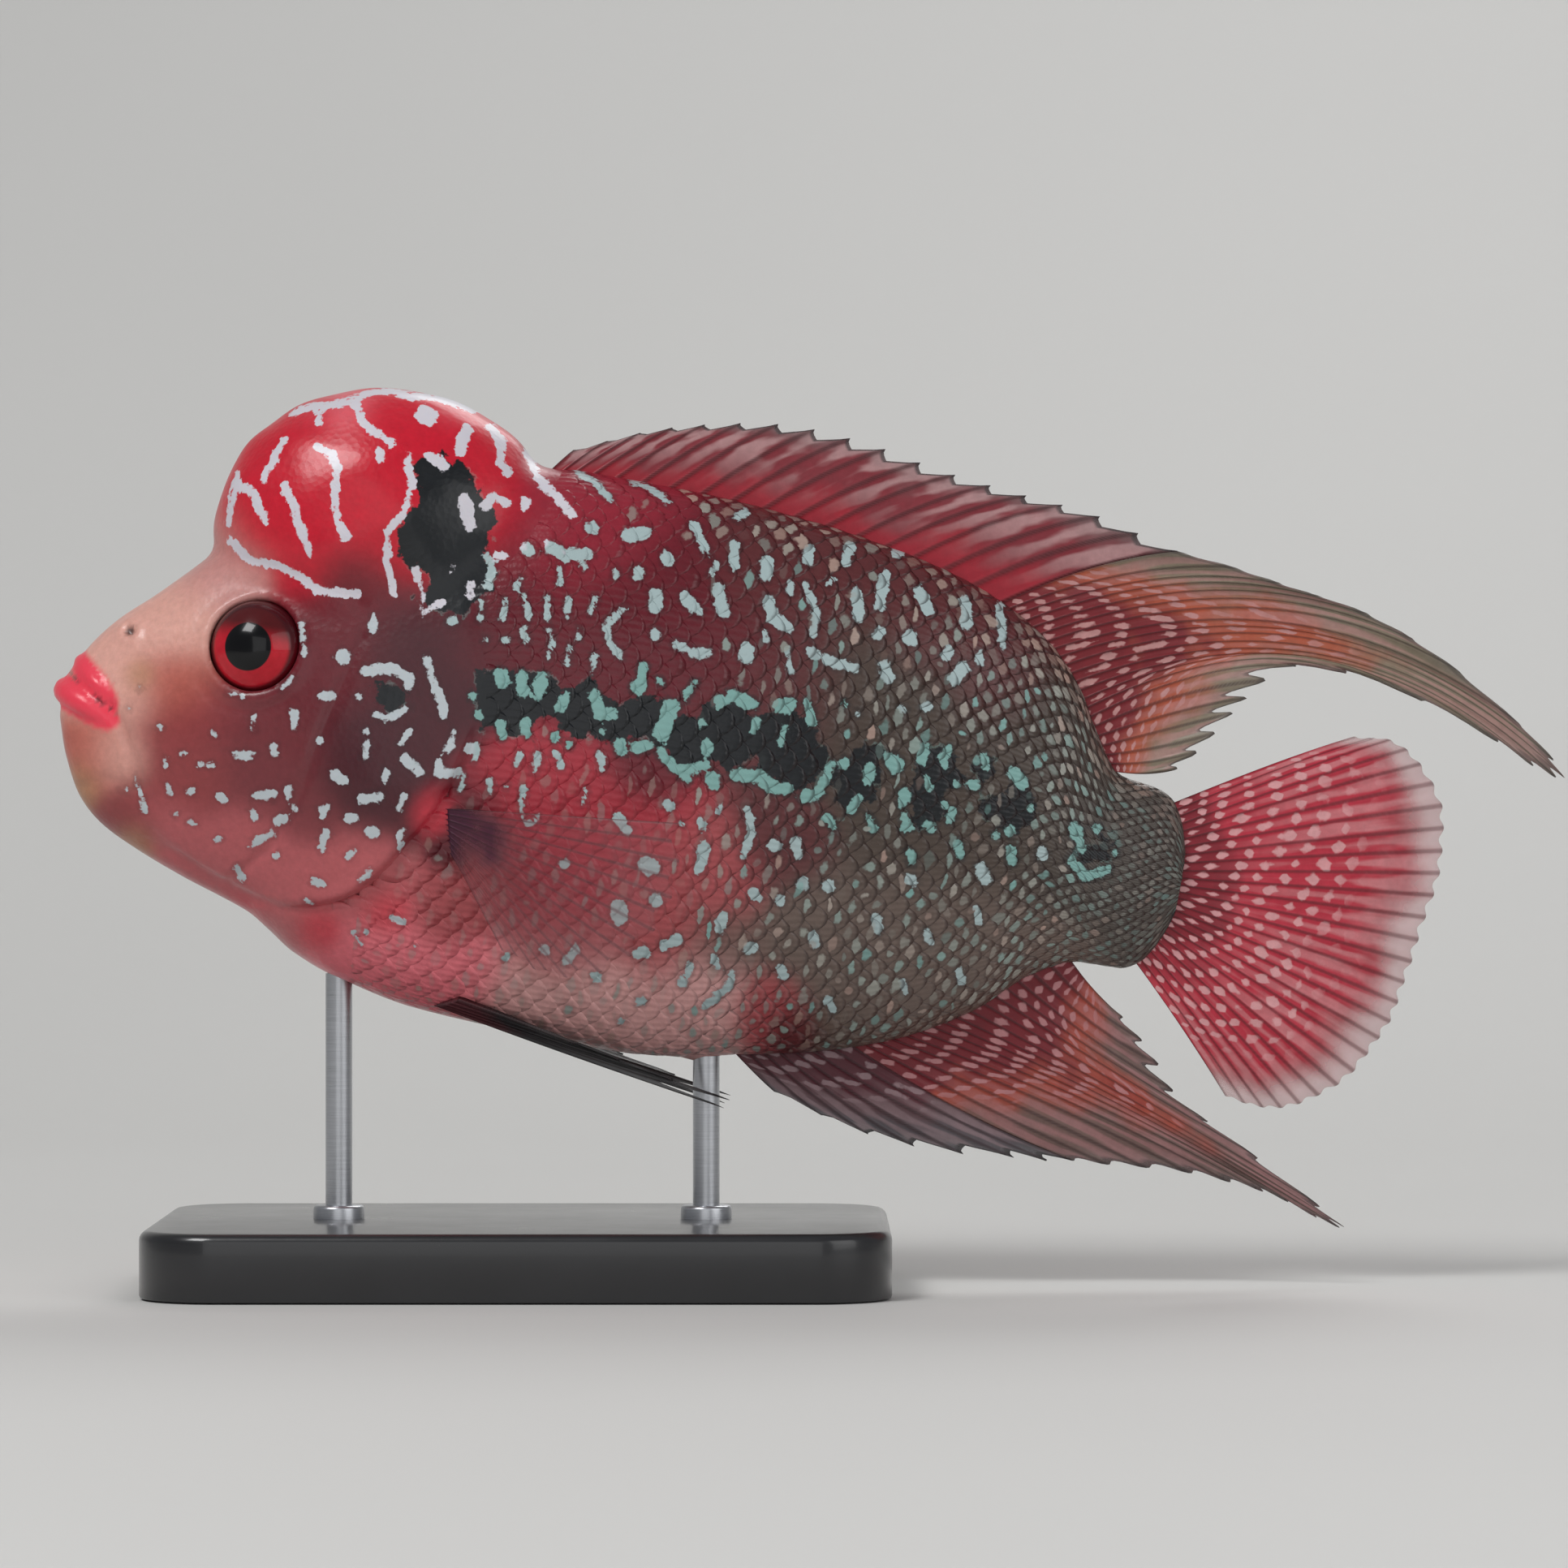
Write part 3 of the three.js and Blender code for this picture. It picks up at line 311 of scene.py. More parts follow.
# Outlines of the black patches, in photograph pixels
BLACK_PATCHES = [
    [(515, 571), (545, 566), (577, 571), (590, 596), (598, 622), (612, 650), (606, 684), (613, 712),
     (610, 734), (592, 750), (577, 766), (556, 758), (534, 761), (526, 738), (530, 712), (512, 700),
     (500, 678), (490, 664), (506, 641), (520, 622), (525, 610), (509, 586)],
    [(467, 850), (474, 840), (488, 836), (502, 843), (514, 858), (508, 874), (490, 880), (472, 872)],
    [(596, 834), (640, 828), (686, 831), (691, 853), (734, 848), (748, 860), (764, 868), (790, 864),
     (812, 860), (826, 886), (822, 931), (802, 911), (780, 908), (754, 914), (739, 902), (720, 908),
     (701, 902), (681, 885), (660, 898), (638, 904), (622, 894), (606, 897)],
    [(824, 892), (842, 890), (861, 882), (875, 868), (909, 865), (928, 882), (948, 880), (972, 873),
     (999, 882), (1006, 911), (1022, 931), (1011, 960), (982, 974), (962, 960), (948, 955), (928, 941),
     (912, 948), (899, 955), (884, 940), (870, 941), (852, 950), (836, 950), (822, 931)],
    [(1025, 931), (1045, 941), (1054, 926), (1083, 921), (1086, 950), (1074, 989), (1056, 990),
     (1045, 999), (1028, 1002), (1020, 974)],
    [(1122, 941), (1147, 916), (1170, 920), (1185, 931), (1180, 944), (1192, 960), (1161, 979),
     (1158, 1000), (1142, 1023), (1117, 1013), (1126, 990), (1122, 974)],
    [(1205, 989), (1216, 976), (1229, 984), (1240, 970), (1262, 972), (1273, 999), (1264, 1020),
     (1253, 1030), (1236, 1024), (1223, 1008), (1205, 1004)],
    [(1194, 944), (1206, 924), (1226, 936), (1222, 958), (1206, 970)],
    [(1318, 1035), (1332, 1030), (1345, 1040), (1356, 1026), (1370, 1040), (1366, 1062), (1340, 1066),
     (1322, 1054)],
    [(1444, 1120), (1462, 1122), (1458, 1150), (1444, 1146)],
]
PEARL_SEED = 7

# A distance in mm that stands for no mark or no lip near
FAR = 9.0
# The lips lie ahead of this x
LIPS_END = 22
# How far the skin is sunk under the scales
SKIN_SINK = 0.35
# First and last columns of the scales, and by x, how far apart the columns are and how long a scale is
SCALES_FROM, SCALES_TO = 56.0, 203
COLUMN_STEPS = ([60, 150, 185, 204], [2.1, 2.0, 1.55, 1.3])
SCALE_LENGTHS = ([60, 150, 185, 204], [6.7, 6.3, 5.0, 4.2])
# The length of scale that the plates' heights are given for
FULL_SCALE = 7.4
# Scales whose middle is nearer than this to a stroke or to a patch's edge have finer plates
NEAR_STROKE, NEAR_PATCH = 3.2, 3.4
PLAIN_STEPS, MARKED_STEPS = 5, 9


class FISH_PG_sizes(bpy.types.PropertyGroup):
    """Sizes a user may change before building the fish."""

    skin_voxel: bpy.props.FloatProperty(
        name="Skin grain", description="Size of the skin's faces", default=0.8 * MM, unit="LENGTH",
        min=0.4 * MM
    )
    scale_rows: bpy.props.IntProperty(
        name="Scale rows", description="Rows of scales from the back to the belly, a side", default=22,
        min=8, max=40
    )
    scale_lift: bpy.props.FloatProperty(
        name="Scale lift", description="How far a scale's free edge stands up", default=0.15 * MM,
        unit="LENGTH"
    )
    steps_between_rays: bpy.props.IntProperty(
        name="Fin steps", description="Faces from one fin ray to the next", default=8, min=4, max=24
    )
    fin_rows: bpy.props.IntProperty(
        name="Fin rows", description="Faces from a fin's root to its tip", default=44, min=8, max=100
    )
    base_corner: bpy.props.FloatProperty(
        name="Base corner", description="Radius of the stand base's corners", default=14 * MM, unit="LENGTH"
    )


def colour_prop(name, description, default):
    return bpy.props.FloatVectorProperty(
        name=name, description=description, default=default, subtype="COLOR", size=3, min=0, max=1
    )


def srgb(red, green, blue):
    """Linear colour from the 0 to 255 values that a screen shows."""
    return tuple(
        (v / 255 / 12.92) if v / 255 <= 0.04045 else ((v / 255 + 0.055) / 1.055) ** 2.4
        for v in (red, green, blue)
    )


class FISH_PG_colours(bpy.types.PropertyGroup):
    """Colours a user may change before building the fish."""

    hump_red: colour_prop("Hump red", "Bright red of the hump", srgb(200, 20, 44))
    brow_pink: colour_prop("Brow pink", "Pale pink in front of the hump", srgb(196, 140, 134))
    snout_tan: colour_prop("Snout tan", "Flesh colour of the snout", srgb(222, 166, 152))
    chin_brown: colour_prop("Chin brown", "Red brown of the chin", srgb(186, 96, 82))
    olive_tan: colour_prop("Olive tan", "Olive tint of the snout and the chin", srgb(176, 130, 92))
    lip_pink: colour_prop("Lip pink", "Bright pink red of the lips", srgb(240, 66, 86))
    cheek_mauve: colour_prop("Cheek mauve", "Greyish red of the cheek", srgb(146, 60, 62))
    gill_red: colour_prop("Gill red", "Dark red of the gill covers", srgb(104, 28, 38))
    breast_pink: colour_prop("Breast pink", "Pink of the breast", srgb(240, 124, 134))
    belly_buff: colour_prop("Belly buff", "Pale greyish pink of the belly", srgb(220, 166, 162))
    crest_wine: colour_prop("Crest wine", "Wine red of the back behind the hump", srgb(146, 36, 52))
    flank_red: colour_prop("Flank red", "Dark red of the upper flank", srgb(98, 22, 34))
    flank_rose: colour_prop("Flank rose", "Greyish rose of the lower flank", srgb(168, 76, 80))
    flank_wine: colour_prop("Flank wine", "Wine red of the middle of the flank", srgb(168, 44, 58))
    rear_wine: colour_prop("Rear wine", "Brownish wine of the rear back", srgb(92, 42, 44))
    rear_buff: colour_prop("Rear buff", "Warm grey of the lower rear flank", srgb(106, 90, 82))
    rear_brown: colour_prop("Rear brown", "Greyish brown of the rear flank", srgb(72, 60, 52))
    stalk_grey: colour_prop("Stalk grey", "Warm grey of the tail stalk", srgb(74, 66, 60))
    mark_black: colour_prop("Mark black", "Blue black of the large marks", srgb(14, 18, 22))
    pearl_pale: colour_prop("Pearl pale", "Pale lilac grey of the hump's pearls", srgb(212, 208, 216))
    deep_teal: colour_prop("Deep teal", "Blue green of the pearls along the dark band", srgb(126, 170, 164))
    gill_wine: colour_prop("Gill wine", "Darkest wine red of the gill covers", srgb(70, 20, 30))
    cheek_wine: colour_prop("Cheek wine", "Dark wine red of the cheek", srgb(116, 46, 52))
    cheek_pink: colour_prop("Cheek pink", "Greyish pink of the lower cheek", srgb(186, 92, 96))
    pearl_buff: colour_prop("Pearl buff", "Greyish buff of the rear scales' pearls", srgb(176, 148, 136))
    lattice_brown: colour_prop("Lattice brown", "Dark brown between the rear scales", srgb(48, 32, 32))
    gill_flap: colour_prop("Gill flap red", "Bright red of the flap under the gill covers",
                           srgb(206, 52, 68))
    eye_red: colour_prop("Eye red", "Red of the iris", srgb(176, 10, 30))


def settings():
    return bpy.context.scene.fish_sizes, bpy.context.scene.fish_colours


def rotated(a, b, angle):
    """The pair turned by the angle."""
    cosine, sine = math.cos(angle), math.sin(angle)
    return a * cosine - b * sine, a * sine + b * cosine


def mirrored(points):
    """The points, with those of the left side moved over to the right."""
    return np.stack([points[:, 0], np.abs(points[:, 1]), points[:, 2]], 1)


def to_world(points):
    """World places in metres of points in the fish's frame in millimetres."""
    x, y, z = np.asarray(points, float).T
    x, z = rotated(x, z, -PITCH)
    return (np.stack([x, y, z], 1) + FISH_AT) * MM


def to_fish(points):
    """Places in the fish's frame in millimetres of world points in metres."""
    x, y, z = (np.asarray(points, float) / MM - FISH_AT).T
    x, z = rotated(x, z, PITCH)
    return np.stack([x, y, z], 1)


def from_photo(points):
    """Side view places, x and z in the fish's frame, of photograph pixels."""
    across, down = np.asarray(points, float).T
    dx = (across - PHOTO_NOSE[0]) * PHOTO_MM
    dz = (PHOTO_NOSE[1] - down) * PHOTO_MM
    return np.stack(rotated(dx, dz, PITCH), 1)


def through(pairs):
    """Smooth curve through the pairs that never overshoots them."""
    xs, ys = np.array(pairs, float).T
    slopes = np.diff(ys) / np.diff(xs)
    tangents = np.concatenate([slopes[:1], np.zeros(len(xs) - 2), slopes[-1:]])
    before, after = slopes[:-1], slopes[1:]
    rising = before * after > 0
    tangents[1:-1][rising] = (2 * before * after / (before + after))[rising]

    def at(x):
        i = np.clip(np.searchsorted(xs, x, side="right") - 1, 0, len(xs) - 2)
        span = xs[i + 1] - xs[i]
        t = np.clip((x - xs[i]) / span, 0, 1)
        level = (1 + 2 * t) * (1 - t) ** 2 * ys[i] + t * t * (3 - 2 * t) * ys[i + 1]
        return level + span * (t * (1 - t) ** 2 * tangents[i] - t * t * (1 - t) * tangents[i + 1])

    return at


back_at = through(BACK)
belly_at = through(BELLY)
width_at = through(HALF_WIDTH)


def curve_through(points, t):
    """Points at t, from 0 to 1, on the smooth curve through the given points."""
    points = np.asarray(points, float)
    points = np.vstack([2 * points[0] - points[1], points, 2 * points[-1] - points[-2]])
    place = np.clip(np.asarray(t, float), 0, 1) * (len(points) - 3)
    i = np.clip(place.astype(int), 0, len(points) - 4)
    f = (place - i)[..., None]
    p0, p1, p2, p3 = (points[i + k] for k in range(4))
    return 0.5 * (2 * p1 + (p2 - p0) * f + (2 * p0 - 5 * p1 + 4 * p2 - p3) * f**2
                  + (3 * p1 - p0 - 3 * p2 + p3) * f**3)


def smooth_step(low, high, value):
    t = np.clip((value - low) / (high - low), 0, 1)
    return t * t * (3 - 2 * t)


def smooth_min(a, b, reach):
    h = np.clip(0.5 + 0.5 * (b - a) / reach, 0, 1)
    return b * (1 - h) + a * h - reach * h * (1 - h)


def line_distance(points, line, radii=None):
    """Distance of each point to a line of straight pieces, less the line's radius where it has one."""
    line = np.asarray(line, float)
    best = np.full(len(points), np.inf)
    for k in range(len(line) - 1):
        start, along = line[k], line[k + 1] - line[k]
        t = np.clip(((points - start) @ along) / max(along @ along, 1e-12), 0, 1)
        distance = np.linalg.norm(points - start - t[:, None] * along, axis=1)
        if radii is not None:
            distance = distance - (radii[k] + t * (radii[k + 1] - radii[k]))
        best = np.minimum(best, distance)
    return best


def patch_distance(points, outline):
    """Distance to a closed outline, negative inside."""
    outline = np.asarray(outline, float)
    closed = np.vstack([outline, outline[:1]])
    x, z = points.T
    inside = np.zeros(len(points), bool)
    for (x0, z0), (x1, z1) in zip(closed[:-1], closed[1:]):
        crosses = (z0 > z) != (z1 > z)
        inside ^= crosses & (x < (x1 - x0) * (z - z0) / (z1 - z0 + 1e-12) + x0)
    distance = line_distance(points, closed)
    return np.where(inside, -distance, distance)


def ellipsoid_field(points, radii):
    """Rough distance to an ellipsoid round the origin, negative inside."""
    local = points / np.array(radii, float)
    reach = np.linalg.norm(local, axis=1)
    slope = np.linalg.norm(local / np.array(radii, float), axis=1) + 1e-6
    return (reach - 1) * reach / slope


def body_field(points):
    x, y, z = points.T
    top, low, half = back_at(x), belly_at(x), width_at(x)
    middle, reach = (top + low) / 2, (top - low) / 2
    a, b = np.abs(y) / half, (z - middle) / reach
    level = np.sqrt(a ** (2 * SQUARENESS) + b**2)
    slope = np.sqrt((a / half) ** 2 + (b / reach) ** 2) + 1e-6
    ends = np.maximum(BODY_ENDS[0] - x, x - BODY_ENDS[1])
    return np.maximum((level - 1) * level / slope, ends)


def hump_field(points):
    x, y, z = (points - np.array(HUMP["centre"], float)).T
    x, z = rotated(x, z, HUMP["tilt"])
    return ellipsoid_field(np.stack([x, y, z], 1), HUMP["radii"])


def lip_line(lip):
    other_side = [(x, -y, z) for x, y, z in (lip["side"], lip["corner"])]
    t = np.linspace(0, 0.5, 11)
    line = curve_through([lip["corner"], lip["side"], lip["front"], *other_side], t)
    return line, lip["radius"] * (0.55 + 0.45 * np.sin(np.pi * t) ** 0.7)


def eye_field(points):
    """Rough distance to the eyeball of the side that each point lies on."""
    x, y, z = (mirrored(points) - np.array(EYE["centre"], float)).T
    x, y = rotated(x, y, -EYE["swing"])
    return ellipsoid_field(np.stack([x, y, z], 1), EYE["radii"])


def skin_field(points):
    """Rough distance to the whole skin: body, hump and lips joined softly, and sockets for the eyes."""
    field = smooth_min(body_field(points), hump_field(points), 3.4)
    near = np.flatnonzero(points[:, 0] < LIPS_END)
    for lip in LIPS.values():
        lips = np.full(len(points), FAR)
        lips[near] = line_distance(mirrored(points[near]), *lip_line(lip))
        field = smooth_min(field, lips, 0.7)
    return -smooth_min(-field, eye_field(points) - 0.4, 0.8)


def gradient(field, points, level):
    step = 0.03
    return np.stack([(field(points + step * axis) - level) / step for axis in np.eye(3)], 1)


def side_half_width(x, z):
    """Half width of the body at a place in the side view."""
    top, low = back_at(x), belly_at(x)
    b = np.clip((z - (top + low) / 2) / ((top - low) / 2), -1, 1)
    return width_at(x) * (1 - b * b) ** (0.5 / SQUARENESS)


def varied_side(points):
    """Side view places for the marks, shifted a little on the right side, so that the two sides differ."""
    x, y, z = points.T
    right = smooth_step(0, 6, y)
    return np.stack([x + right * 2.2 * np.sin(z * 0.21 + 1), z + right * 1.8 * np.sin(x * 0.17 + 2)], 1)


def coat_colours(points):
    """Base colour of the coat at each point, mixed from the paint areas round it."""
    colours = settings()[1]
    side = points[:, [0, 2]]
    total = np.zeros(len(points))
    mixed = np.zeros((len(points), 3))
    for name, areas in COAT_AREAS.items():
        for across, down, reach in areas:
            distance = np.linalg.norm(side - from_photo([(across, down)])[0], axis=1) / (reach * PHOTO_MM)
            weight = np.exp(-(distance**2)) + 1e-3 / (1 + distance**4)
            total += weight
            mixed += weight[:, None] * np.array(getattr(colours, name))
    return mixed / total[:, None]


def mark_fields(points):
    """Distances to the strokes and the patches, negative inside, and how deep the nearest stroke's colour is.

    A stroke with a single place is a dot.
    """
    side = varied_side(points)
    stroke, depth = np.full(len(points), FAR), np.zeros(len(points))
    for strokes, deep in STROKE_DEPTHS:
        for half, *places in strokes:
            drawn = from_photo(np.reshape(places * (2 if len(places) == 2 else 1), (-1, 2)))
            near = np.flatnonzero(np.all((side > drawn.min(0) - 3) & (side < drawn.max(0) + 3), axis=1))
            reach = line_distance(side[near], drawn) - half * PHOTO_MM + 0.1
            closer = near[reach < stroke[near]]
            stroke[closer] = reach[reach < stroke[near]]
            depth[closer] = deep
    black = np.full(len(points), FAR)
    for outline in BLACK_PATCHES:
        black = np.minimum(black, patch_distance(side, from_photo(outline)))
    return stroke, depth, black


def new_object(name, points, faces, smooth=True):
    """A mesh object from world points in metres and faces."""
    mesh = bpy.data.meshes.new(name)
    mesh.from_pydata([tuple(p) for p in points], [], faces)
    mesh.validate()
    piece = bpy.data.objects.new(name, mesh)
    bpy.context.collection.objects.link(piece)
    mesh.shade_smooth() if smooth else mesh.shade_flat()
    return piece


def set_attribute(mesh, name, values, kind="FLOAT"):
    attribute = mesh.attributes.new(name, kind, "POINT")
    values = np.asarray(values, np.float32)
    if kind == "FLOAT_COLOR":
        values = np.hstack([values, np.ones((len(values), 1), np.float32)])
        attribute.data.foreach_set("color", values.ravel())
    else:
        attribute.data.foreach_set("value", values.ravel())


def set_coat(mesh, points):
    """Stores the coat's colour and its marks on the mesh, from the points in the fish's frame."""
    stroke, depth, black = mark_fields(points)
    set_attribute(mesh, "coat", coat_colours(points), "FLOAT_COLOR")
    set_attribute(mesh, "stroke", stroke)
    set_attribute(mesh, "stroke_depth", depth)
    set_attribute(mesh, "black", black)


def vertex_array(mesh):
    places = np.empty(len(mesh.vertices) * 3, np.float32)
    mesh.vertices.foreach_get("co", places)
    return places.reshape(-1, 3).astype(float)


def deselect_all():
    if bpy.context.mode != "OBJECT":
        bpy.ops.object.mode_set(mode="OBJECT")
    bpy.ops.object.select_all(action="DESELECT")


def make_active(piece):
    deselect_all()
    piece.select_set(True)
    bpy.context.view_layer.objects.active = piece


def edit_all(piece, change, **values):
    """Runs one operator on all of the piece's mesh."""
    make_active(piece)
    bpy.ops.object.mode_set(mode="EDIT")
    bpy.ops.mesh.select_all(action="SELECT")
    change(**values)
    bpy.ops.object.mode_set(mode="OBJECT")


def apply_modifier(piece, kind, **values):
    make_active(piece)
    modifier = piece.modifiers.new(kind.title(), kind)
    for key, value in values.items():
        setattr(modifier, key, value)
    bpy.ops.object.modifier_apply(modifier=modifier.name)


def finish_piece(piece, material, slot, *replaced):
    piece.data.materials.clear()
    piece.data.materials.append(material)
    if replaced:
        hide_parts(*replaced)
    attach(piece, "root")


class NodeTree:
    """Short ways to add nodes and links to a material or a node group."""

    def __init__(self, tree):
        self.tree = tree

    def add(self, kind, inputs=None, **values):
        node = self.tree.nodes.new(kind)
        for key, value in values.items():
            setattr(node, key, value)
        for key, value in (inputs or {}).items():
            if isinstance(value, bpy.types.NodeSocket):
                self.tree.links.new(value, node.inputs[key])
            else:
                node.inputs[key].default_value = value
        return node

    def place(self):
        return self.add("ShaderNodeTexCoord").outputs["Object"]

    def attribute(self, name, socket="Fac"):
        return self.add("ShaderNodeAttribute", attribute_name=name).outputs[socket]

    def bump(self, height, distance, strength):
        inputs = {"Height": height, "Distance": distance, "Strength": strength}
        return self.add("ShaderNodeBump", inputs).outputs[0]

    def math(self, operation, first, second=0.0):
        return self.add("ShaderNodeMath", {0: first, 1: second}, operation=operation).outputs[0]

    def plus(self, first, second):
        return self.math("ADD", first, second)

    def minus(self, first, second):
        return self.math("SUBTRACT", first, second)

    def times(self, first, second):
        return self.math("MULTIPLY", first, second)

    def flipped(self, mask):
        """1 where the mask is 0, and the other way round."""
        return self.minus(1.0, mask)

    def shaded(self, colour, value):
        """The colour times the value."""
        grey = self.add("ShaderNodeCombineColor", {0: value, 1: value, 2: value}).outputs[0]
        return self.mix(1.0, colour, grey, "MULTIPLY")

    def mix(self, factor, first, second, blend="MIX"):
        node = self.add("ShaderNodeMix", data_type="RGBA", blend_type=blend)
        for socket, value in ((node.inputs[0], factor), (node.inputs[6], first), (node.inputs[7], second)):
            if isinstance(value, bpy.types.NodeSocket):
                self.tree.links.new(value, socket)
            else:
                socket.default_value = value
        return node.outputs[2]

    def below(self, value, edge, softness):
        """1 where the value is under the edge, 0 over it, with a soft change."""
        span = {0: value, 1: edge - softness, 2: edge + softness, 3: 1.0, 4: 0.0}
        return self.add("ShaderNodeMapRange", span, interpolation_type="SMOOTHSTEP").outputs[0]

    def noise(self, vector, scale, detail=3.0, roughness=0.5):
        inputs = {"Vector": vector, "Scale": scale, "Detail": detail, "Roughness": roughness}
        return self.add("ShaderNodeTexNoise", inputs).outputs[0]

    def link(self, output, target):
        self.tree.links.new(output, target)


def group_with(name, inputs, outputs):
    """A new shader node group with its sockets, and its tree, its input node and its output node."""
    tree = bpy.data.node_groups.new(name, "ShaderNodeTree")
    for label, kind, value in inputs:
        socket = tree.interface.new_socket(name=label, in_out="INPUT", socket_type=kind)
        if value is not None:
            socket.default_value = value
    for label, kind in outputs:
        tree.interface.new_socket(name=label, in_out="OUTPUT", socket_type=kind)
    nodes = NodeTree(tree)
    return tree, nodes, tree.nodes.new("NodeGroupInput").outputs, tree.nodes.new("NodeGroupOutput").inputs


def marks_group():
    """Lays the black patches and the pale strokes with their dark halos over a coat colour."""
    if "Fish Marks" in bpy.data.node_groups:
        return bpy.data.node_groups["Fish Marks"]
    tree, nodes, given, out = group_with(
        "Fish Marks",
        [("Coat", "NodeSocketColor", None), ("Stroke", "NodeSocketFloat", 9.0),
         ("Black", "NodeSocketFloat", 9.0),
         ("Depth", "NodeSocketFloat", 0.0), ("Black Colour", "NodeSocketColor", None),
         ("Pale Colour", "NodeSocketColor", None), ("Deep Colour", "NodeSocketColor", None)],
        [("Colour", "NodeSocketColor")],
    )
    place = nodes.place()
    ragged = nodes.minus(nodes.noise(place, 420, 4, 0.6), 0.5)
    wavy = nodes.minus(nodes.noise(place, 110, 2, 0.5), 0.5)
    fine = nodes.minus(nodes.noise(place, 1100, 2, 0.5), 0.5)
    rough_edge = nodes.plus(nodes.times(ragged, 5.5), nodes.times(wavy, 5.0))
    black = nodes.plus(given["Black"], rough_edge)
    stroke = nodes.plus(given["Stroke"], nodes.plus(nodes.times(ragged, 2.2), fine))
    black_mask = nodes.below(black, 0.0, 0.25)
    rim_mask = nodes.minus(nodes.below(black, 0.4, 0.3), black_mask)
    broken = nodes.below(nodes.noise(place, 260, 2), 0.44, 0.05)
    rim_mask = nodes.times(rim_mask, broken)
    stroke_mask = nodes.below(stroke, 0.0, 0.14)
    halo_mask = nodes.times(nodes.below(stroke, 0.55, 0.4), given["Depth"])
    mottled = nodes.plus(0.78, nodes.times(nodes.noise(place, 700, 5, 0.65), 0.44))
    coat = nodes.shaded(given["Coat"], mottled)
    coat = nodes.mix(nodes.times(halo_mask, 0.55), coat, given["Black Colour"])
    stroke_colour = nodes.mix(given["Depth"], given["Pale Colour"], given["Deep Colour"])
    coat = nodes.mix(nodes.times(rim_mask, 0.3), coat, given["Deep Colour"])
    coat = nodes.mix(black_mask, coat, given["Black Colour"])
    coat = nodes.mix(stroke_mask, coat, stroke_colour)
    nodes.link(coat, out["Colour"])
    return tree


def skin_grain_group():
    """Fine pores and wrinkles of wet skin: a height and a roughness."""
    if "Wet Skin Grain" in bpy.data.node_groups:
        return bpy.data.node_groups["Wet Skin Grain"]
    tree, nodes, given, out = group_with(
        "Wet Skin Grain",
        [("Grain", "NodeSocketFloat", 900.0), ("Roughness", "NodeSocketFloat", 0.34)],
        [("Height", "NodeSocketFloat"), ("Roughness", "NodeSocketFloat")],
    )
    place = nodes.place()
    pores = nodes.add("ShaderNodeTexVoronoi", {"Vector": place, "Scale": given["Grain"]}).outputs[0]
    folds = nodes.noise(place, 240, 4, 0.55)
    nodes.link(nodes.plus(nodes.times(pores, 0.45), nodes.times(folds, 0.9)), out["Height"])
    cloudy = nodes.times(nodes.minus(nodes.noise(place, 130, 3), 0.5), 0.28)
    nodes.link(nodes.plus(given["Roughness"], cloudy), out["Roughness"])
    return tree


def rgba(colour):
    return (*tuple(colour), 1.0)


def screen_colour(red, green, blue):
    """The same as srgb(), with full cover."""
    return rgba(srgb(red, green, blue))


def blank_material(name, colour, roughness, coat=(0.0, 0.03), specular=0.5, **values):
    """A new material, its node tree, and its shader's inputs; the coat is its weight and roughness."""
    material = bpy.data.materials.new(name)
    material.use_nodes = True
    material.diffuse_color = rgba(colour)
    shader = material.node_tree.nodes["Principled BSDF"]
    plain = {"Base Color": rgba(colour), "Roughness": roughness, "Coat Weight": coat[0],
             "Coat Roughness": coat[1], "Specular IOR Level": specular}
    plain.update((label.replace("_", " ").title(), value) for label, value in values.items())
    for label, value in plain.items():
        shader.inputs[label].default_value = value
    return material, NodeTree(material.node_tree), shader.inputs


def marked_coat(nodes, colours):
    """The coat attribute with the marks laid over it."""
    marks = nodes.add("ShaderNodeGroup", node_tree=marks_group())
    nodes.link(nodes.attribute("coat", "Color"), marks.inputs["Coat"])
    for label, name in (("Stroke", "stroke"), ("Depth", "stroke_depth"), ("Black", "black")):
        nodes.link(nodes.attribute(name), marks.inputs[label])
    marks.inputs["Black Colour"].default_value = rgba(colours.mark_black)
    marks.inputs["Pale Colour"].default_value = rgba(colours.pearl_pale)
    marks.inputs["Deep Colour"].default_value = rgba(colours.deep_teal)
    return marks.outputs["Colour"]


def skin_material():
    colours = settings()[1]
    material, nodes, shader = blank_material("wet_skin", colours.flank_red, 0.36, (0.22, 0.14), 0.35,
                                             subsurface_weight=0.06, subsurface_scale=0.002)
    grain = nodes.add("ShaderNodeGroup", node_tree=skin_grain_group())
    colour = nodes.mix(nodes.attribute("lips"), marked_coat(nodes, colours), rgba(colours.lip_pink))
    # Painted shade: the dark attribute blackens the mouth's slit between the lips and the nostril's pit
    colour = nodes.mix(nodes.times(nodes.attribute("dark"), 0.8), colour, rgba(colours.mark_black))
    nodes.link(colour, shader["Base Color"])
    nodes.link(grain.outputs["Roughness"], shader["Roughness"])
    nodes.link(nodes.bump(grain.outputs["Height"], 0.00018, 0.55), shader["Normal"])
    return material


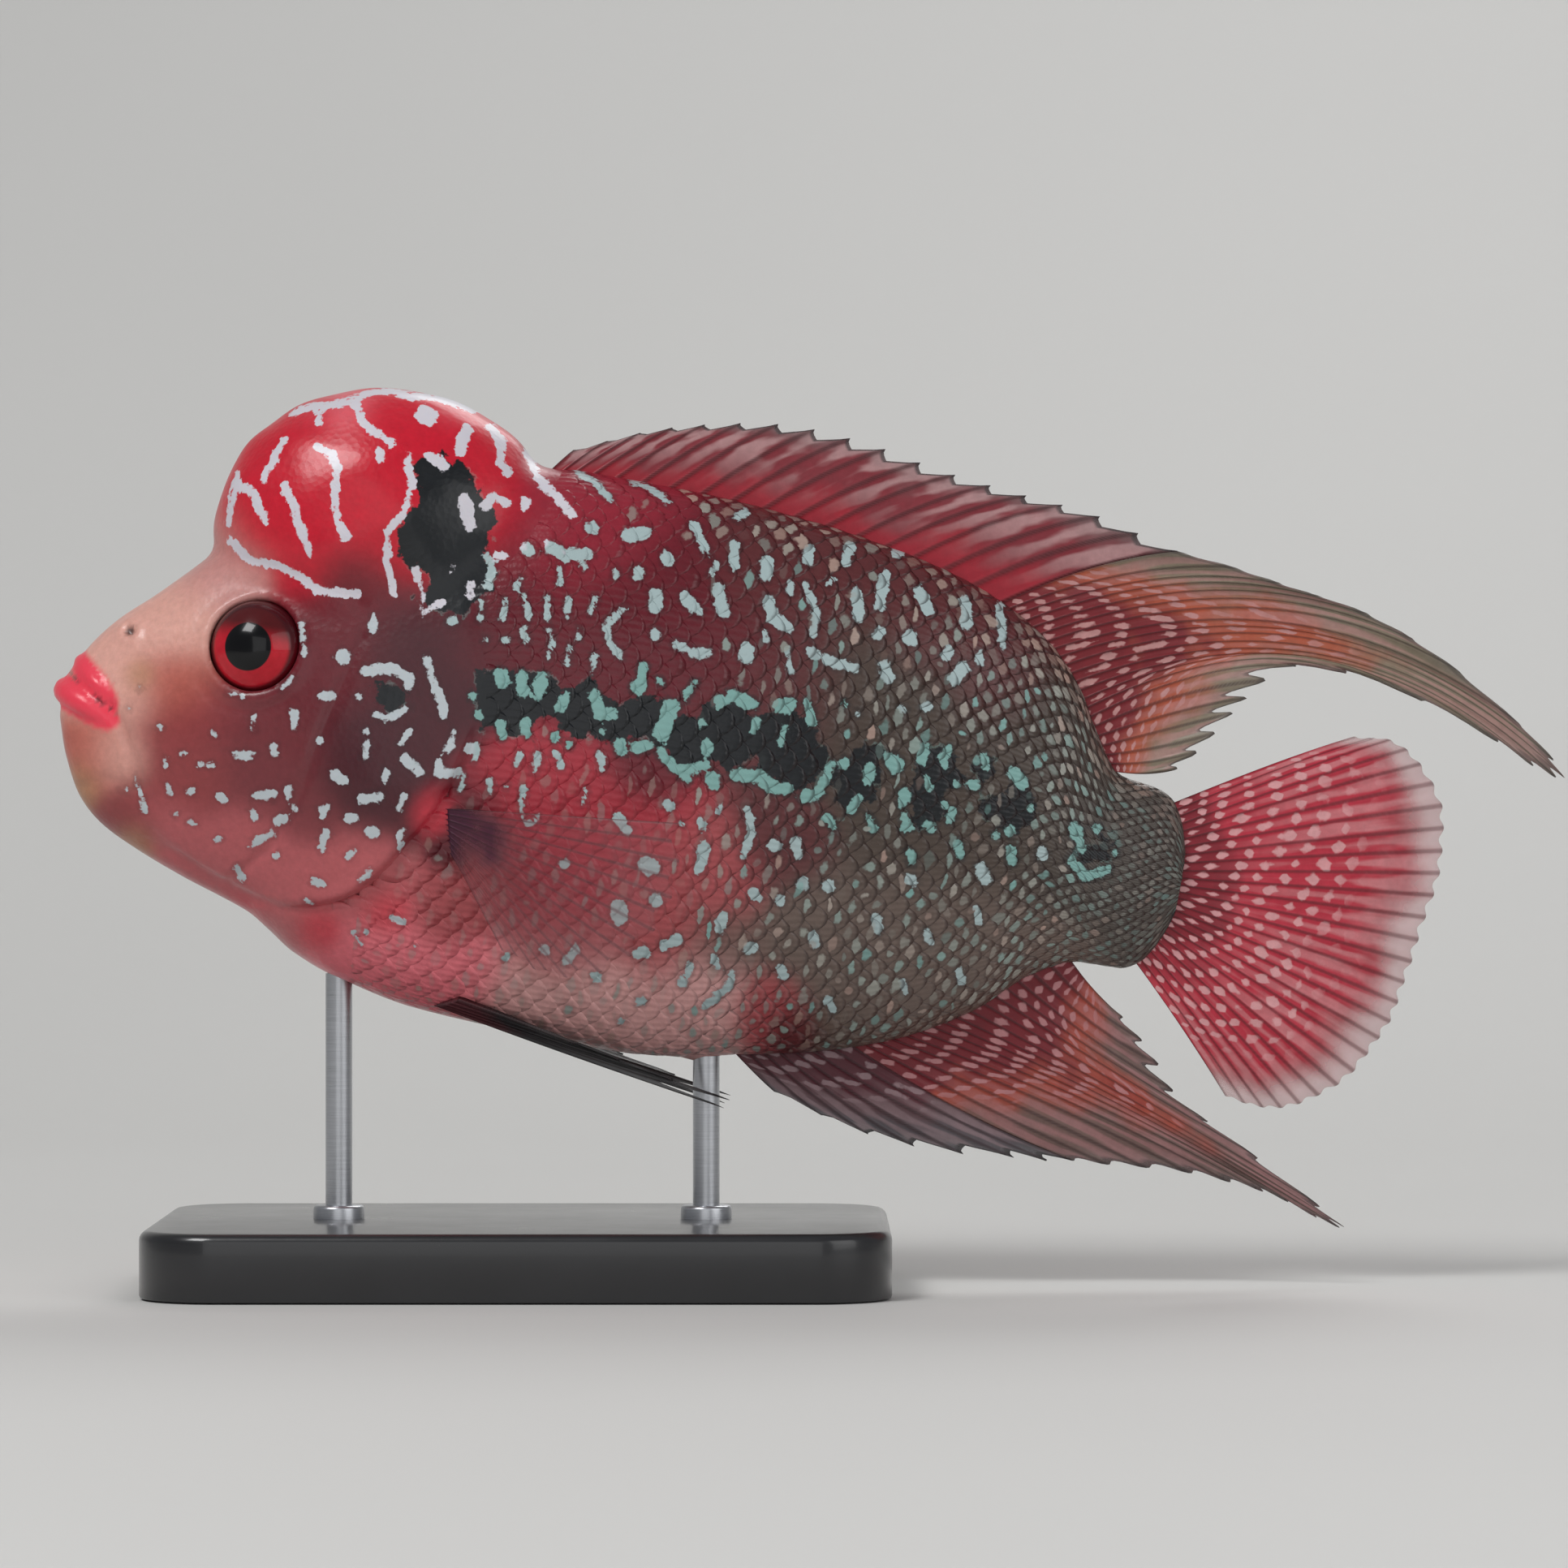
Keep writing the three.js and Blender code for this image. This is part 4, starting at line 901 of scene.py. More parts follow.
def scale_material():
    colours = settings()[1]
    material, nodes, shader = blank_material("scale_coat", colours.flank_red, 0.36, (0.16, 0.16), 0.35)
    strength = nodes.attribute("pearl_strength")
    squared = [nodes.math("POWER", nodes.attribute("pearl_" + label), 2.0) for label in ("along", "across")]
    ragged = nodes.minus(nodes.noise(nodes.place(), 520, 3, 0.6), 0.5)
    pearl = nodes.plus(nodes.math("SQRT", nodes.plus(*squared)), nodes.times(ragged, 2.6))
    pearl_mask = nodes.below(pearl, 1.0, 0.3)
    halo = nodes.times(nodes.times(nodes.below(pearl, 1.9, 0.6), 0.35), strength)
    lattice = nodes.times(nodes.below(nodes.attribute("rim"), 0.55, 0.35), nodes.attribute("lattice"))
    dark = rgba(colours.lattice_brown)
    colour = nodes.mix(lattice, marked_coat(nodes, colours), dark)
    colour = nodes.mix(halo, colour, dark)
    pearls = nodes.mix(nodes.attribute("pinkness"), rgba(colours.deep_teal), rgba(colours.pearl_buff))
    colour = nodes.mix(nodes.times(pearl_mask, strength), colour, pearls)
    nodes.link(colour, shader["Base Color"])
    grain = nodes.add("ShaderNodeGroup", {"Grain": 1500.0, "Roughness": 0.3}, node_tree=skin_grain_group())
    nodes.link(grain.outputs["Roughness"], shader["Roughness"])
    ridges = nodes.times(nodes.math("SINE", nodes.attribute("fan")), 0.4)
    nodes.link(nodes.bump(nodes.plus(ridges, grain.outputs["Height"]), 0.00012, 0.5), shader["Normal"])
    return material


FLESH_NODES = [
    "head", "lower_jaw", "lip_upper", "lip_lower", "nuchal_hump", "gill_cover_left", "gill_cover_right",
    "trunk", "tail_stalk",
]


def joined_flesh():
    """One copy of all the flesh nodes, each swollen a little so that their gaps close."""
    copies = []
    for name in FLESH_NODES:
        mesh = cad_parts[name].data.copy()
        copy = bpy.data.objects.new("flesh_" + name, mesh)
        bpy.context.collection.objects.link(copy)
        edit_all(copy, bpy.ops.mesh.remove_doubles, threshold=0.00001)
        apply_modifier(copy, "DISPLACE", strength=0.0003, mid_level=0.0)
        copies.append(copy)
    deselect_all()
    for copy in copies:
        copy.select_set(True)
    bpy.context.view_layer.objects.active = copies[-2]
    bpy.ops.object.join()
    skin = bpy.context.view_layer.objects.active
    skin.name = skin.data.name = "skin"
    return skin


GILL_LINE = curve_through(GILL_EDGE, np.linspace(0, 1, 25))


def behind_gills(side):
    """How far each side view place lies behind the gill covers' edge."""
    return side[:, 0] - np.interp(side[:, 1], GILL_LINE[:, 1], GILL_LINE[:, 0])


def skin_relief(points, normals):
    """How far the skin stands out over the smooth body: gill covers, folds, eye rims and nostrils."""
    side = points[:, [0, 2]]
    outward = np.abs(normals[:, 1])
    away = line_distance(side, GILL_LINE)
    inside = (behind_gills(side) < 0) & (side[:, 1] < 33)
    rise = smooth_step(40, 62, points[:, 0]) * smooth_step(12, -6, side[:, 1])
    cover = (1.0 + 0.35 * np.exp(-((away - 1.6) / 1.5) ** 2)) * rise * smooth_step(-0.1, 0.7, away)
    groove = -0.35 * rise * np.exp(-((away / 1.2) ** 2))
    relief = np.where(inside, cover, groove) * smooth_step(0.05, 0.4, outward)
    for line, depth, width in FOLDS:
        drawn = curve_through(line, np.linspace(0, 1, 4 * len(line)))
        across = line_distance(side, drawn) / width
        relief -= depth * np.exp(-(across**2)) * smooth_step(0.1, 0.5, outward)
    from_eye = np.linalg.norm(side - np.array([EYE["centre"][0] - 0.5, EYE["centre"][2]]), axis=1)
    relief += 0.4 * np.exp(-(((from_eye - 9.1) / 1.1) ** 2))
    from_nostril = np.linalg.norm(side - np.array(NOSTRIL), axis=1)
    rim, hole = 0.45 * np.exp(-(((from_nostril
                                  - 1.7) / 0.8) ** 2)), 1.1 * np.exp(-((from_nostril / 0.9) ** 2))
    relief += (rim - hole) * smooth_step(0.2, 0.5, outward)
    x, y, z = points.T
    lumps = np.sin(x * 0.31 + 0.6 * np.sin(z * 0.23)) * np.sin(z * 0.37 + 1.3) * np.cos(y * 0.29)
    hump = smooth_step(-6, -1, -np.abs(hump_field(points))) * smooth_step(26, 34, z)
    vent = 1.1 * np.exp(-(((x - VENT[0]) / 3.2) ** 2) - ((z - VENT[1]) / 2.2) ** 2 - (y / 2.6) ** 2)
    return relief + 0.35 * lumps * hump + vent


def scale_cover(points):
    """1 where scales cover the skin, 0 on the bare head and hump."""
    behind = smooth_step(-1, 3, behind_gills(points[:, [0, 2]]))
    off_hump = smooth_step(2, 5, hump_field(points))
    return behind * off_hump * smooth_step(54, 64, points[:, 0])


class FISH_OT_skin(bpy.types.Operator):
    """Makes the one skin of the head, hump, trunk and tail stalk"""

    bl_idname = "fish.skin"
    bl_label = "Skin"

    def execute(self, context):
        sizes = settings()[0]
        skin = joined_flesh()
        apply_modifier(skin, "REMESH", mode="VOXEL", voxel_size=sizes.skin_voxel)
        apply_modifier(skin, "SMOOTH", factor=0.5, iterations=4)
        points = to_fish(vertex_array(skin.data))
        for _ in range(4):
            level = skin_field(points)
            slope = gradient(skin_field, points, level)
            points -= np.clip(level, -1, 1)[:, None] * slope / (np.sum(slope**2, axis=1) + 1e-9)[:, None]
        normals = slope / (np.linalg.norm(slope, axis=1) + 1e-9)[:, None]
        depth = skin_relief(points, normals) - SKIN_SINK * scale_cover(points)
        points += normals * depth[:, None]
        skin.data.vertices.foreach_set("co", to_world(points).astype(np.float32).ravel())
        skin.data.update()
        apply_modifier(skin, "SMOOTH", factor=0.3, iterations=1)
        skin.data.shade_smooth()
        set_coat(skin.data, points)
        near_lip = [line_distance(mirrored(points), *lip_line(lip)) for lip in LIPS.values()]
        set_attribute(skin.data, "lips", 1 - smooth_step(0.3, 1.3, np.minimum(*near_lip)))
        # The mouth's slit and the nostril's pit get a near black painted shade through the dark attribute
        slit = np.abs(near_lip[0] - near_lip[1])
        mouth_shade = (1 - smooth_step(0.15, 0.7, slit)) * (1 - smooth_step(0.6, 1.6, near_lip[0]))
        nostril = np.linalg.norm(points[:, [0, 2]] - np.array(NOSTRIL), axis=1)
        set_attribute(skin.data, "dark", np.maximum(mouth_shade, 1 - smooth_step(0.5, 1.1, nostril)))
        finish_piece(skin, skin_material(), "red_skin", *FLESH_NODES)
        return {"FINISHED"}


def surface_point(x, share, side):
    """Places on the smooth body at x, at a share of the way round from the back to the belly."""
    angles = np.linspace(math.pi / 2, -math.pi / 2, 65)
    top, low, half = back_at(x)[:, None], belly_at(x)[:, None], width_at(x)[:, None]
    across = half * np.cos(angles) ** (1 / SQUARENESS)
    up = (top + low) / 2 + (top - low) / 2 * np.sin(angles)
    lengths = np.hypot(np.diff(across, axis=1), np.diff(up, axis=1)).cumsum(axis=1)
    lengths = np.hstack([np.zeros((len(x), 1)), lengths]) / lengths[:, -1:]
    place = np.clip(share, 0, 1)
    i = np.clip((lengths <= place[:, None]).sum(axis=1) - 1, 0, len(angles) - 2)
    row = np.arange(len(x))
    t = (place - lengths[row, i]) / (lengths[row, i + 1] - lengths[row, i] + 1e-9)
    y = across[row, i] + t * (across[row, i + 1] - across[row, i])
    z = up[row, i] + t * (up[row, i + 1] - up[row, i])
    return np.stack([x, side * y, z], 1)


def scale_length(x):
    """Usual length of a scale at x: shorter towards the tail."""
    return np.interp(x, *SCALE_LENGTHS)


def scale_spots(rng):
    """Each scale's x, share of the way down, column and row, and its length and its small turn."""
    rows = settings()[0].scale_rows
    column_x = [SCALES_FROM]
    while column_x[-1] < SCALES_TO:
        column_x.append(column_x[-1] + np.interp(column_x[-1], *COLUMN_STEPS))
    spots = [(x, (row + 0.5 * (column % 2)) / rows, column, row)
             for column, x in enumerate(column_x) for row in range(rows + 1)]
    spots = np.array([spot for spot in spots if 0.005 < spot[1] < 0.995])
    length = scale_length(spots[:, 0]) * rng.normal(1, 0.03, len(spots))
    return spots, length, rng.normal(0, 0.05, len(spots))


def scale_plates(side, spots, length, turn, steps):
    """Overlapping closed plates: points, faces, and each point's place along and across its plate."""
    grid_u, grid_v = np.meshgrid(np.linspace(0, 1, steps), np.linspace(-1, 1, steps), indexing="ij")
    grid_u, grid_v = grid_u.ravel(), grid_v.ravel()
    each = len(grid_u)
    u, v = np.tile(grid_u, len(spots)), np.tile(grid_v, len(spots))
    span, size = np.repeat(length, each), np.repeat(scale_length(spots[:, 0]) / FULL_SCALE, each)
    rounding = np.sqrt(np.clip(1 - 0.42 * v**2, 0, 1))
    taper = np.interp(u, [0, 0.3, 0.7, 1], [0.75, 1, 0.98, 0.72])
    along = (u * rounding - 0.5) * span + np.repeat(turn, each) * v * span
    x = np.clip(np.repeat(spots[:, 0], each) + along, 40, BODY_ENDS[1] - 0.4)
    share = np.clip(np.repeat(spots[:, 1], each) + v * taper * 0.62 / settings()[0].scale_rows, 0, 1)
    base = surface_point(x, share, side)
    step = surface_point(x + 0.2, share, side) - base
    lower, upper = (surface_point(x, np.clip(share + gap, 0, 1), side) for gap in (0.01, -0.01))
    around = lower - upper
    normals = np.cross(step, around)
    normals /= np.linalg.norm(normals, axis=1)[:, None] + 1e-9
    outward = np.stack([np.zeros(len(x)), base[:, 1], base[:, 2] - (back_at(x) + belly_at(x)) / 2], 1)
    normals *= np.sign(np.sum(normals * outward, axis=1))[:, None]
    relief = size * (0.14 + 0.86 * smooth_step(76, 130, x))
    lift = settings()[0].scale_lift / MM * relief
    crown = 0.08 * relief * (1 - v**2) - 0.1 * relief * smooth_step(0.85, 1, u)
    height = -0.34 * size + lift * 1.9 * u + crown
    layers = [base + normals * level[:, None] for level in (height, height - 0.16 * size)]
    points = np.stack([layer.reshape(-1, each, 3) for layer in layers], 1).reshape(-1, 3)
    order = np.arange(each).reshape(steps, steps)
    quads = np.stack([order[:-1, :-1], order[:-1, 1:], order[1:, 1:], order[1:, :-1]], -1).reshape(-1, 4)
    border = np.concatenate([order[0, :-1], order[:-1, -1], order[-1, :0:-1], order[:0:-1, 0]])
    after = np.roll(border, -1)
    walls = np.stack([border, border + each, after + each, after], 1)
    plate = np.vstack([quads, quads[:, ::-1] + each, walls])
    if side > 0:
        plate = plate[:, ::-1]
    faces = (plate[None] + (np.arange(len(spots)) * 2 * each)[:, None, None]).reshape(-1, 4)
    both = lambda values: np.repeat(values.reshape(len(spots), 1, each), 2, axis=1).ravel()
    return points, faces, both(u), both(v)


def pearl_sizes(spots, rng):
    """Each scale's pearl, as its two half lengths, strength and pinkness, and the depth of the lattice."""
    x, share = spots[:, 0], spots[:, 1]
    centre = surface_point(x, share, -1)[:, [0, 2]]
    rear = smooth_step(108, 134, x + 6 * smooth_step(0.5, 0.8, share))
    crest = (1 - smooth_step(0.08, 0.2, share)) * smooth_step(84, 104, x)
    keel = smooth_step(0.86, 0.95, share) * (1 - smooth_step(104, 120, x))
    stalk = smooth_step(182, 192, x)
    along = np.clip(0.6 + 0.35 * crest + rng.normal(0, 0.14, len(x)), 0.3, 1.2)
    across = np.clip(1.2 + 0.2 * crest - 0.5 * keel + rng.normal(0, 0.35, len(x)), 0.4, 1.9)
    there = rng.random(len(x)) < np.clip(0.88 * rear + 0.7 * crest + 0.4 * keel, 0.02, 0.9)
    strength = np.where(there, rng.uniform(0.3, 0.9, len(x)), 0.0) * (1 - 0.55 * stalk)
    faint = np.where(rng.random(len(x)) < 0.6, rng.uniform(0.1, 0.36, len(x)), 0.0)
    strength = np.maximum(strength, faint * (1 - rear) * smooth_step(0.42, 0.55, share))
    pink = np.clip(0.45 + 0.4 * crest + 0.5 * keel + rng.normal(0, 0.28, len(x)), 0, 1)
    lattice = 0.5 * rear
    black = np.full(len(x), FAR)
    for outline in BLACK_PATCHES:
        black = np.minimum(black, patch_distance(centre, from_photo(outline)))
    stroke = mark_fields(np.insert(centre, 1, -1, axis=1))[0]
    strength = strength * smooth_step(-1.5, 0.6, black) * smooth_step(0.6, 1.6, stroke)
    return along, across, strength, pink, lattice


class FISH_OT_scales(bpy.types.Operator):
    """Lays the overlapping scales of both sides over the trunk and the tail stalk"""

    bl_idname = "fish.scales"
    bl_label = "Scales"

    def execute(self, context):
        material = scale_material()
        for side, name in ((-1, "left"), (1, "right")):
            rng = np.random.default_rng(PEARL_SEED + side)
            spots, length, turn = scale_spots(rng)
            self.map_size = spots[:, 2].max() + 1, spots[:, 3].max() + 1.5
            pearls = np.stack(pearl_sizes(spots, rng), 1)
            centres = surface_point(spots[:, 0], spots[:, 1], side)
            covered = scale_cover(centres) > 0.5
            stroke, _, black = mark_fields(centres)
            marked = (stroke < NEAR_STROKE) | (np.abs(black) < NEAR_PATCH)
            kinds = (("scales_", ~marked, PLAIN_STEPS), ("marked_scales_", marked, MARKED_STEPS))
            for label, kind, steps in kinds:
                chosen = covered & kind
                plates = [values[chosen] for values in (spots, length, turn, pearls)]
                self.lay(label + name, side, *plates, steps, material)
        return {"FINISHED"}

    def lay(self, name, side, spots, length, turn, pearls, steps, material):
        points, faces, u, v = scale_plates(side, spots, length, turn, steps)
        per_plate = len(points) // len(spots)
        along, across, strength, pink, lattice = np.repeat(pearls, per_plate, axis=0).T
        span = np.repeat(length, per_plate)
        piece = new_object(name, to_world(points), faces.tolist())
        mesh = piece.data
        set_coat(mesh, points)
        set_attribute(mesh, "pearl_along", (u - 0.68) * span / along + 0.35 * np.sin(37 * along))
        set_attribute(mesh, "pearl_across", v * span * 0.42 / across + 0.5 * np.sin(53 * across))
        set_attribute(mesh, "pearl_strength", strength)
        set_attribute(mesh, "pinkness", pink)
        set_attribute(mesh, "lattice", lattice)
        set_attribute(mesh, "rim", np.minimum((1 - u) * span, (1 - np.abs(v)) * span * 0.5))
        set_attribute(mesh, "fan", v * 14)
        self.lay_bake_map(mesh, spots, per_plate, u, v)
        finish_piece(piece, material, "red_skin")

    def lay_bake_map(self, mesh, spots, per_plate, u, v):
        """Gives each scale its own cell of the unrolled side, top to belly by nose to tail."""
        columns, rows = self.map_size
        cell_u = np.repeat(spots[:, 2], per_plate)
        cell_v = np.repeat(spots[:, 3], per_plate)
        map_u = (cell_u + 0.08 + 0.84 * u) / columns
        map_v = (cell_v + 0.5 * (cell_u % 2) + 0.08 + 0.84 * (v * 0.5 + 0.5)) / rows
        corners = np.empty(len(mesh.loops), np.int32)
        mesh.loops.foreach_get("vertex_index", corners)
        layer = mesh.uv_layers.new(name="OFBake")
        places = np.stack([map_u[corners], map_v[corners]], 1)
        layer.data.foreach_set("uv", places.astype(np.float32).ravel())


def eye_material(name):
    colours = settings()[1]
    material, nodes, shader = blank_material(name, colours.eye_red, 0.2, (0.35, 0.03), 0.2)
    radius, height = nodes.attribute("from_axis"), nodes.attribute("up")
    streaks = nodes.noise(nodes.place(), 900.0, 4.0)
    ring = nodes.mix(streaks, rgba(colours.eye_red), screen_colour(208, 26, 46))
    shade = nodes.times(nodes.below(nodes.times(height, -1.0), -2.4, 2.2), 0.88)
    ring = nodes.mix(shade, ring, screen_colour(36, 16, 16))
    rim = nodes.flipped(nodes.below(radius, IRIS_RADIUS - 0.5, 0.35))
    ring = nodes.mix(nodes.times(rim, 0.9), ring, screen_colour(62, 10, 18))
    colour = nodes.mix(nodes.below(radius, PUPIL_RADIUS, 0.12), ring, screen_colour(2, 2, 4))
    nodes.link(colour, shader["Base Color"])
    return material


class FISH_OT_eyes(bpy.types.Operator):
    """Makes the two eyeballs, each with a raised front over the pupil"""

    bl_idname = "fish.eyes"
    bl_label = "Eyes"

    def execute(self, context):
        for side, name in ((-1, "eye_left"), (1, "eye_right")):
            deselect_all()
            bpy.ops.mesh.primitive_uv_sphere_add(segments=96, ring_count=64, radius=1.0)
            ball = context.object
            ball.name = ball.data.name = name + "_ball"
            unit = vertex_array(ball.data)[:, [0, 2, 1]]
            radial = np.hypot(unit[:, 0], unit[:, 2]) * EYE["radii"][0]
            bulge = 0.55 * np.exp(-((radial / 4.6) ** 4)) * (unit[:, 1] > 0)
            local = unit * np.array(EYE["radii"], float)
            local[:, 1] += bulge
            x, y = rotated(local[:, 0], local[:, 1], EYE["swing"])
            placed = np.stack([x, y, local[:, 2]], 1) + np.array(EYE["centre"], float)
            placed[:, 1] *= side
            ball.data.vertices.foreach_set("co", to_world(placed).astype(np.float32).ravel())
            edit_all(ball, bpy.ops.mesh.normals_make_consistent, inside=False)
            ball.data.shade_smooth()
            set_attribute(ball.data, "from_axis", np.where(unit[:, 1] > 0, radial, EYE["radii"][0]))
            set_attribute(ball.data, "up", local[:, 2])
            finish_piece(ball, eye_material(name + "_gloss"), "eye_gloss", name)
        return {"FINISHED"}


def fin_sheet(fin, steps, rows):
    """Points of both faces of a fin, its faces, and each point's ray number and distance along the ray."""
    as_points = lambda line: np.array([(p[0], 0, p[1]) if len(p) == 2 else p for p in line], float)
    root, tip = as_points(fin["root"]), as_points(fin["tip"])
    rays = fin["rays"]
    spread = lambda values: through([(k / (len(values) - 1), value) for k, value in enumerate(values)])
    u = np.linspace(0, 1, (rays - 1) * steps + 1)
    part = (u * (rays - 1)) % 1
    off_ray = np.minimum(part, 1 - part) * 2
    scallop = off_ray**0.7 if fin.get("spiny") else np.sin(off_ray * math.pi / 2) ** 2
    notch = spread(fin["notch"])(u) * scallop
    uu, rr = np.meshgrid(u, np.linspace(0, 1, rows + 1), indexing="ij")
    vv = rr * (1 - notch)[:, None]

    def middle(a, b):
        start, end = curve_through(root, a), curve_through(tip, a)
        span = end - start
        reach = np.linalg.norm(span, axis=-1)[..., None]
        bow = np.array(fin["bow_along"], float) * spread(fin["bow"])(a)[..., None] * reach
        control = start + 0.5 * span + bow
        toward = control - start
        start = start - fin.get("sink", 3) * toward / np.linalg.norm(toward, axis=-1)[..., None]
        b = b[..., None]
        point = start * (1 - b) ** 2 + control * 2 * b * (1 - b) + end * b**2
        point[..., 1] += spread(fin.get("sway", [0, 0]))(a) * b[..., 0] ** 2
        return point

    here = middle(uu, vv)
    small = 1e-3
    normal = np.cross(middle(np.minimum(uu + small, 1), vv) - middle(np.maximum(uu - small, 0), vv),
                      middle(uu, vv + small) - middle(uu, vv - small))
    normal /= np.linalg.norm(normal, axis=-1)[..., None] + 1e-12
    along = np.clip(vv, 0, 1)
    thick = fin["thickness"]
    half = (thick[0] + (thick[1] - thick[0]) * np.sqrt(along)) / 2 * 0.62
    split = 0 if fin.get("spiny") else 0.17 * smooth_step(0.35, 1, along)
    from_ray = np.minimum(part, 1 - part)[:, None]
    ridge = np.exp(-(((from_ray - split) / 0.085) ** 2)) * (1 - 0.55 * along)
    half = half + ridge * fin.get("ridge", 0.3)
    ruffle = fin.get("ruffle", 0.35) * np.sin(uu * (rays - 1) * 1.9 + 3 * along) * along**2
    front, back = here + normal * (half + ruffle)[..., None], here - normal * (half - ruffle)[..., None]
    points = np.concatenate([front.reshape(-1, 3), back.reshape(-1, 3)])
    stride, total = rows + 1, front.size // 3
    columns = len(u)
    faces = []
    for c in range(columns - 1):
        a = np.arange(rows) + c * stride
        quads = np.stack([a, a + stride, a + stride + 1, a + 1], 1)
        faces += quads.tolist() + (quads[:, [0, 3, 2, 1]] + total).tolist()
        faces.append([(c + 1) * stride, c * stride, c * stride + total, (c + 1) * stride + total])
        low, high = c * stride + rows, (c + 1) * stride + rows
        faces.append([low, high, high + total, low + total])
    last = (columns - 1) * stride
    for r in range(rows):
        faces.append([r, r + 1, r + 1 + total, r + total])
        faces.append([last + r + 1, last + r, last + r + total, last + r + 1 + total])
    ray = np.tile((uu * (rays - 1)).ravel(), 2)
    return points, faces, ray, np.tile(along.ravel(), 2), np.tile(rr.ravel(), 2)


# How each fin is painted: its four colours; the shares of a ray where the middle and the edge begin; how
# strong the spots and streaks are, how many spots a ray has and where they stop; how clear the fin and its
# edge are; how many painted rays go to one modelled ray; and how dark the very edge is
PLAIN_FIN = {"spots": 0.0, "streaks": 0.0, "clear": (0.0, 0.25), "split": 1, "rim": 0.0}


def fin_paint(root, middle, edge, spot, **values):
    """The paint of one fin, from its colours at the root, middle and edge and of its spots."""
    colours = {"root": srgb(*root), "middle": srgb(*middle), "edge": srgb(*edge), "spot": srgb(*spot)}
    return {**PLAIN_FIN, **colours, **values}


FIN_PAINT = {
    "dorsal_fin_spiny": fin_paint((156, 24, 42), (128, 40, 50), (124, 84, 86), (186, 146, 146),
        turns=(0.3, 0.8), streaks=0.8, count=9, stop=0.4, rim=0.8),
    "dorsal_fin_soft": fin_paint((118, 22, 32), (172, 82, 56), (130, 118, 100), (190, 138, 136),
        turns=(0.3, 0.56), spots=0.95, streaks=0.5, count=13, stop=0.5, rim=0.5),
    "anal_fin_spiny": fin_paint((84, 32, 42), (92, 66, 70), (82, 76, 80), (152, 126, 130),
        turns=(0.4, 0.7), spots=0.8, streaks=0.5, count=7, stop=0.45, rim=1.0),
    "anal_fin_soft": fin_paint((112, 24, 34), (160, 70, 54), (110, 86, 80), (182, 126, 128),
        turns=(0.34, 0.56), spots=0.9, streaks=0.45, count=13, stop=0.46, rim=0.6),
    "caudal_fin": fin_paint((132, 28, 42), (182, 44, 62), (186, 104, 108), (216, 158, 160),
        turns=(0.22, 0.86), spots=0.9, streaks=0.45, count=10, stop=0.66, clear=(0.0, 0.72)),
    "pectoral_fin": fin_paint((70, 26, 48), (150, 84, 92), (160, 110, 114), (200, 170, 170),
        turns=(0.2, 0.6), count=8, stop=0.4, clear=(0.88, 0.93), split=2),
    "pelvic_fin": fin_paint((92, 44, 50), (48, 46, 48), (60, 60, 60), (120, 118, 118),
        turns=(0.2, 0.6), streaks=0.4, count=8, stop=0.4, clear=(0.0, 0.2), split=2, rim=0.4),
}


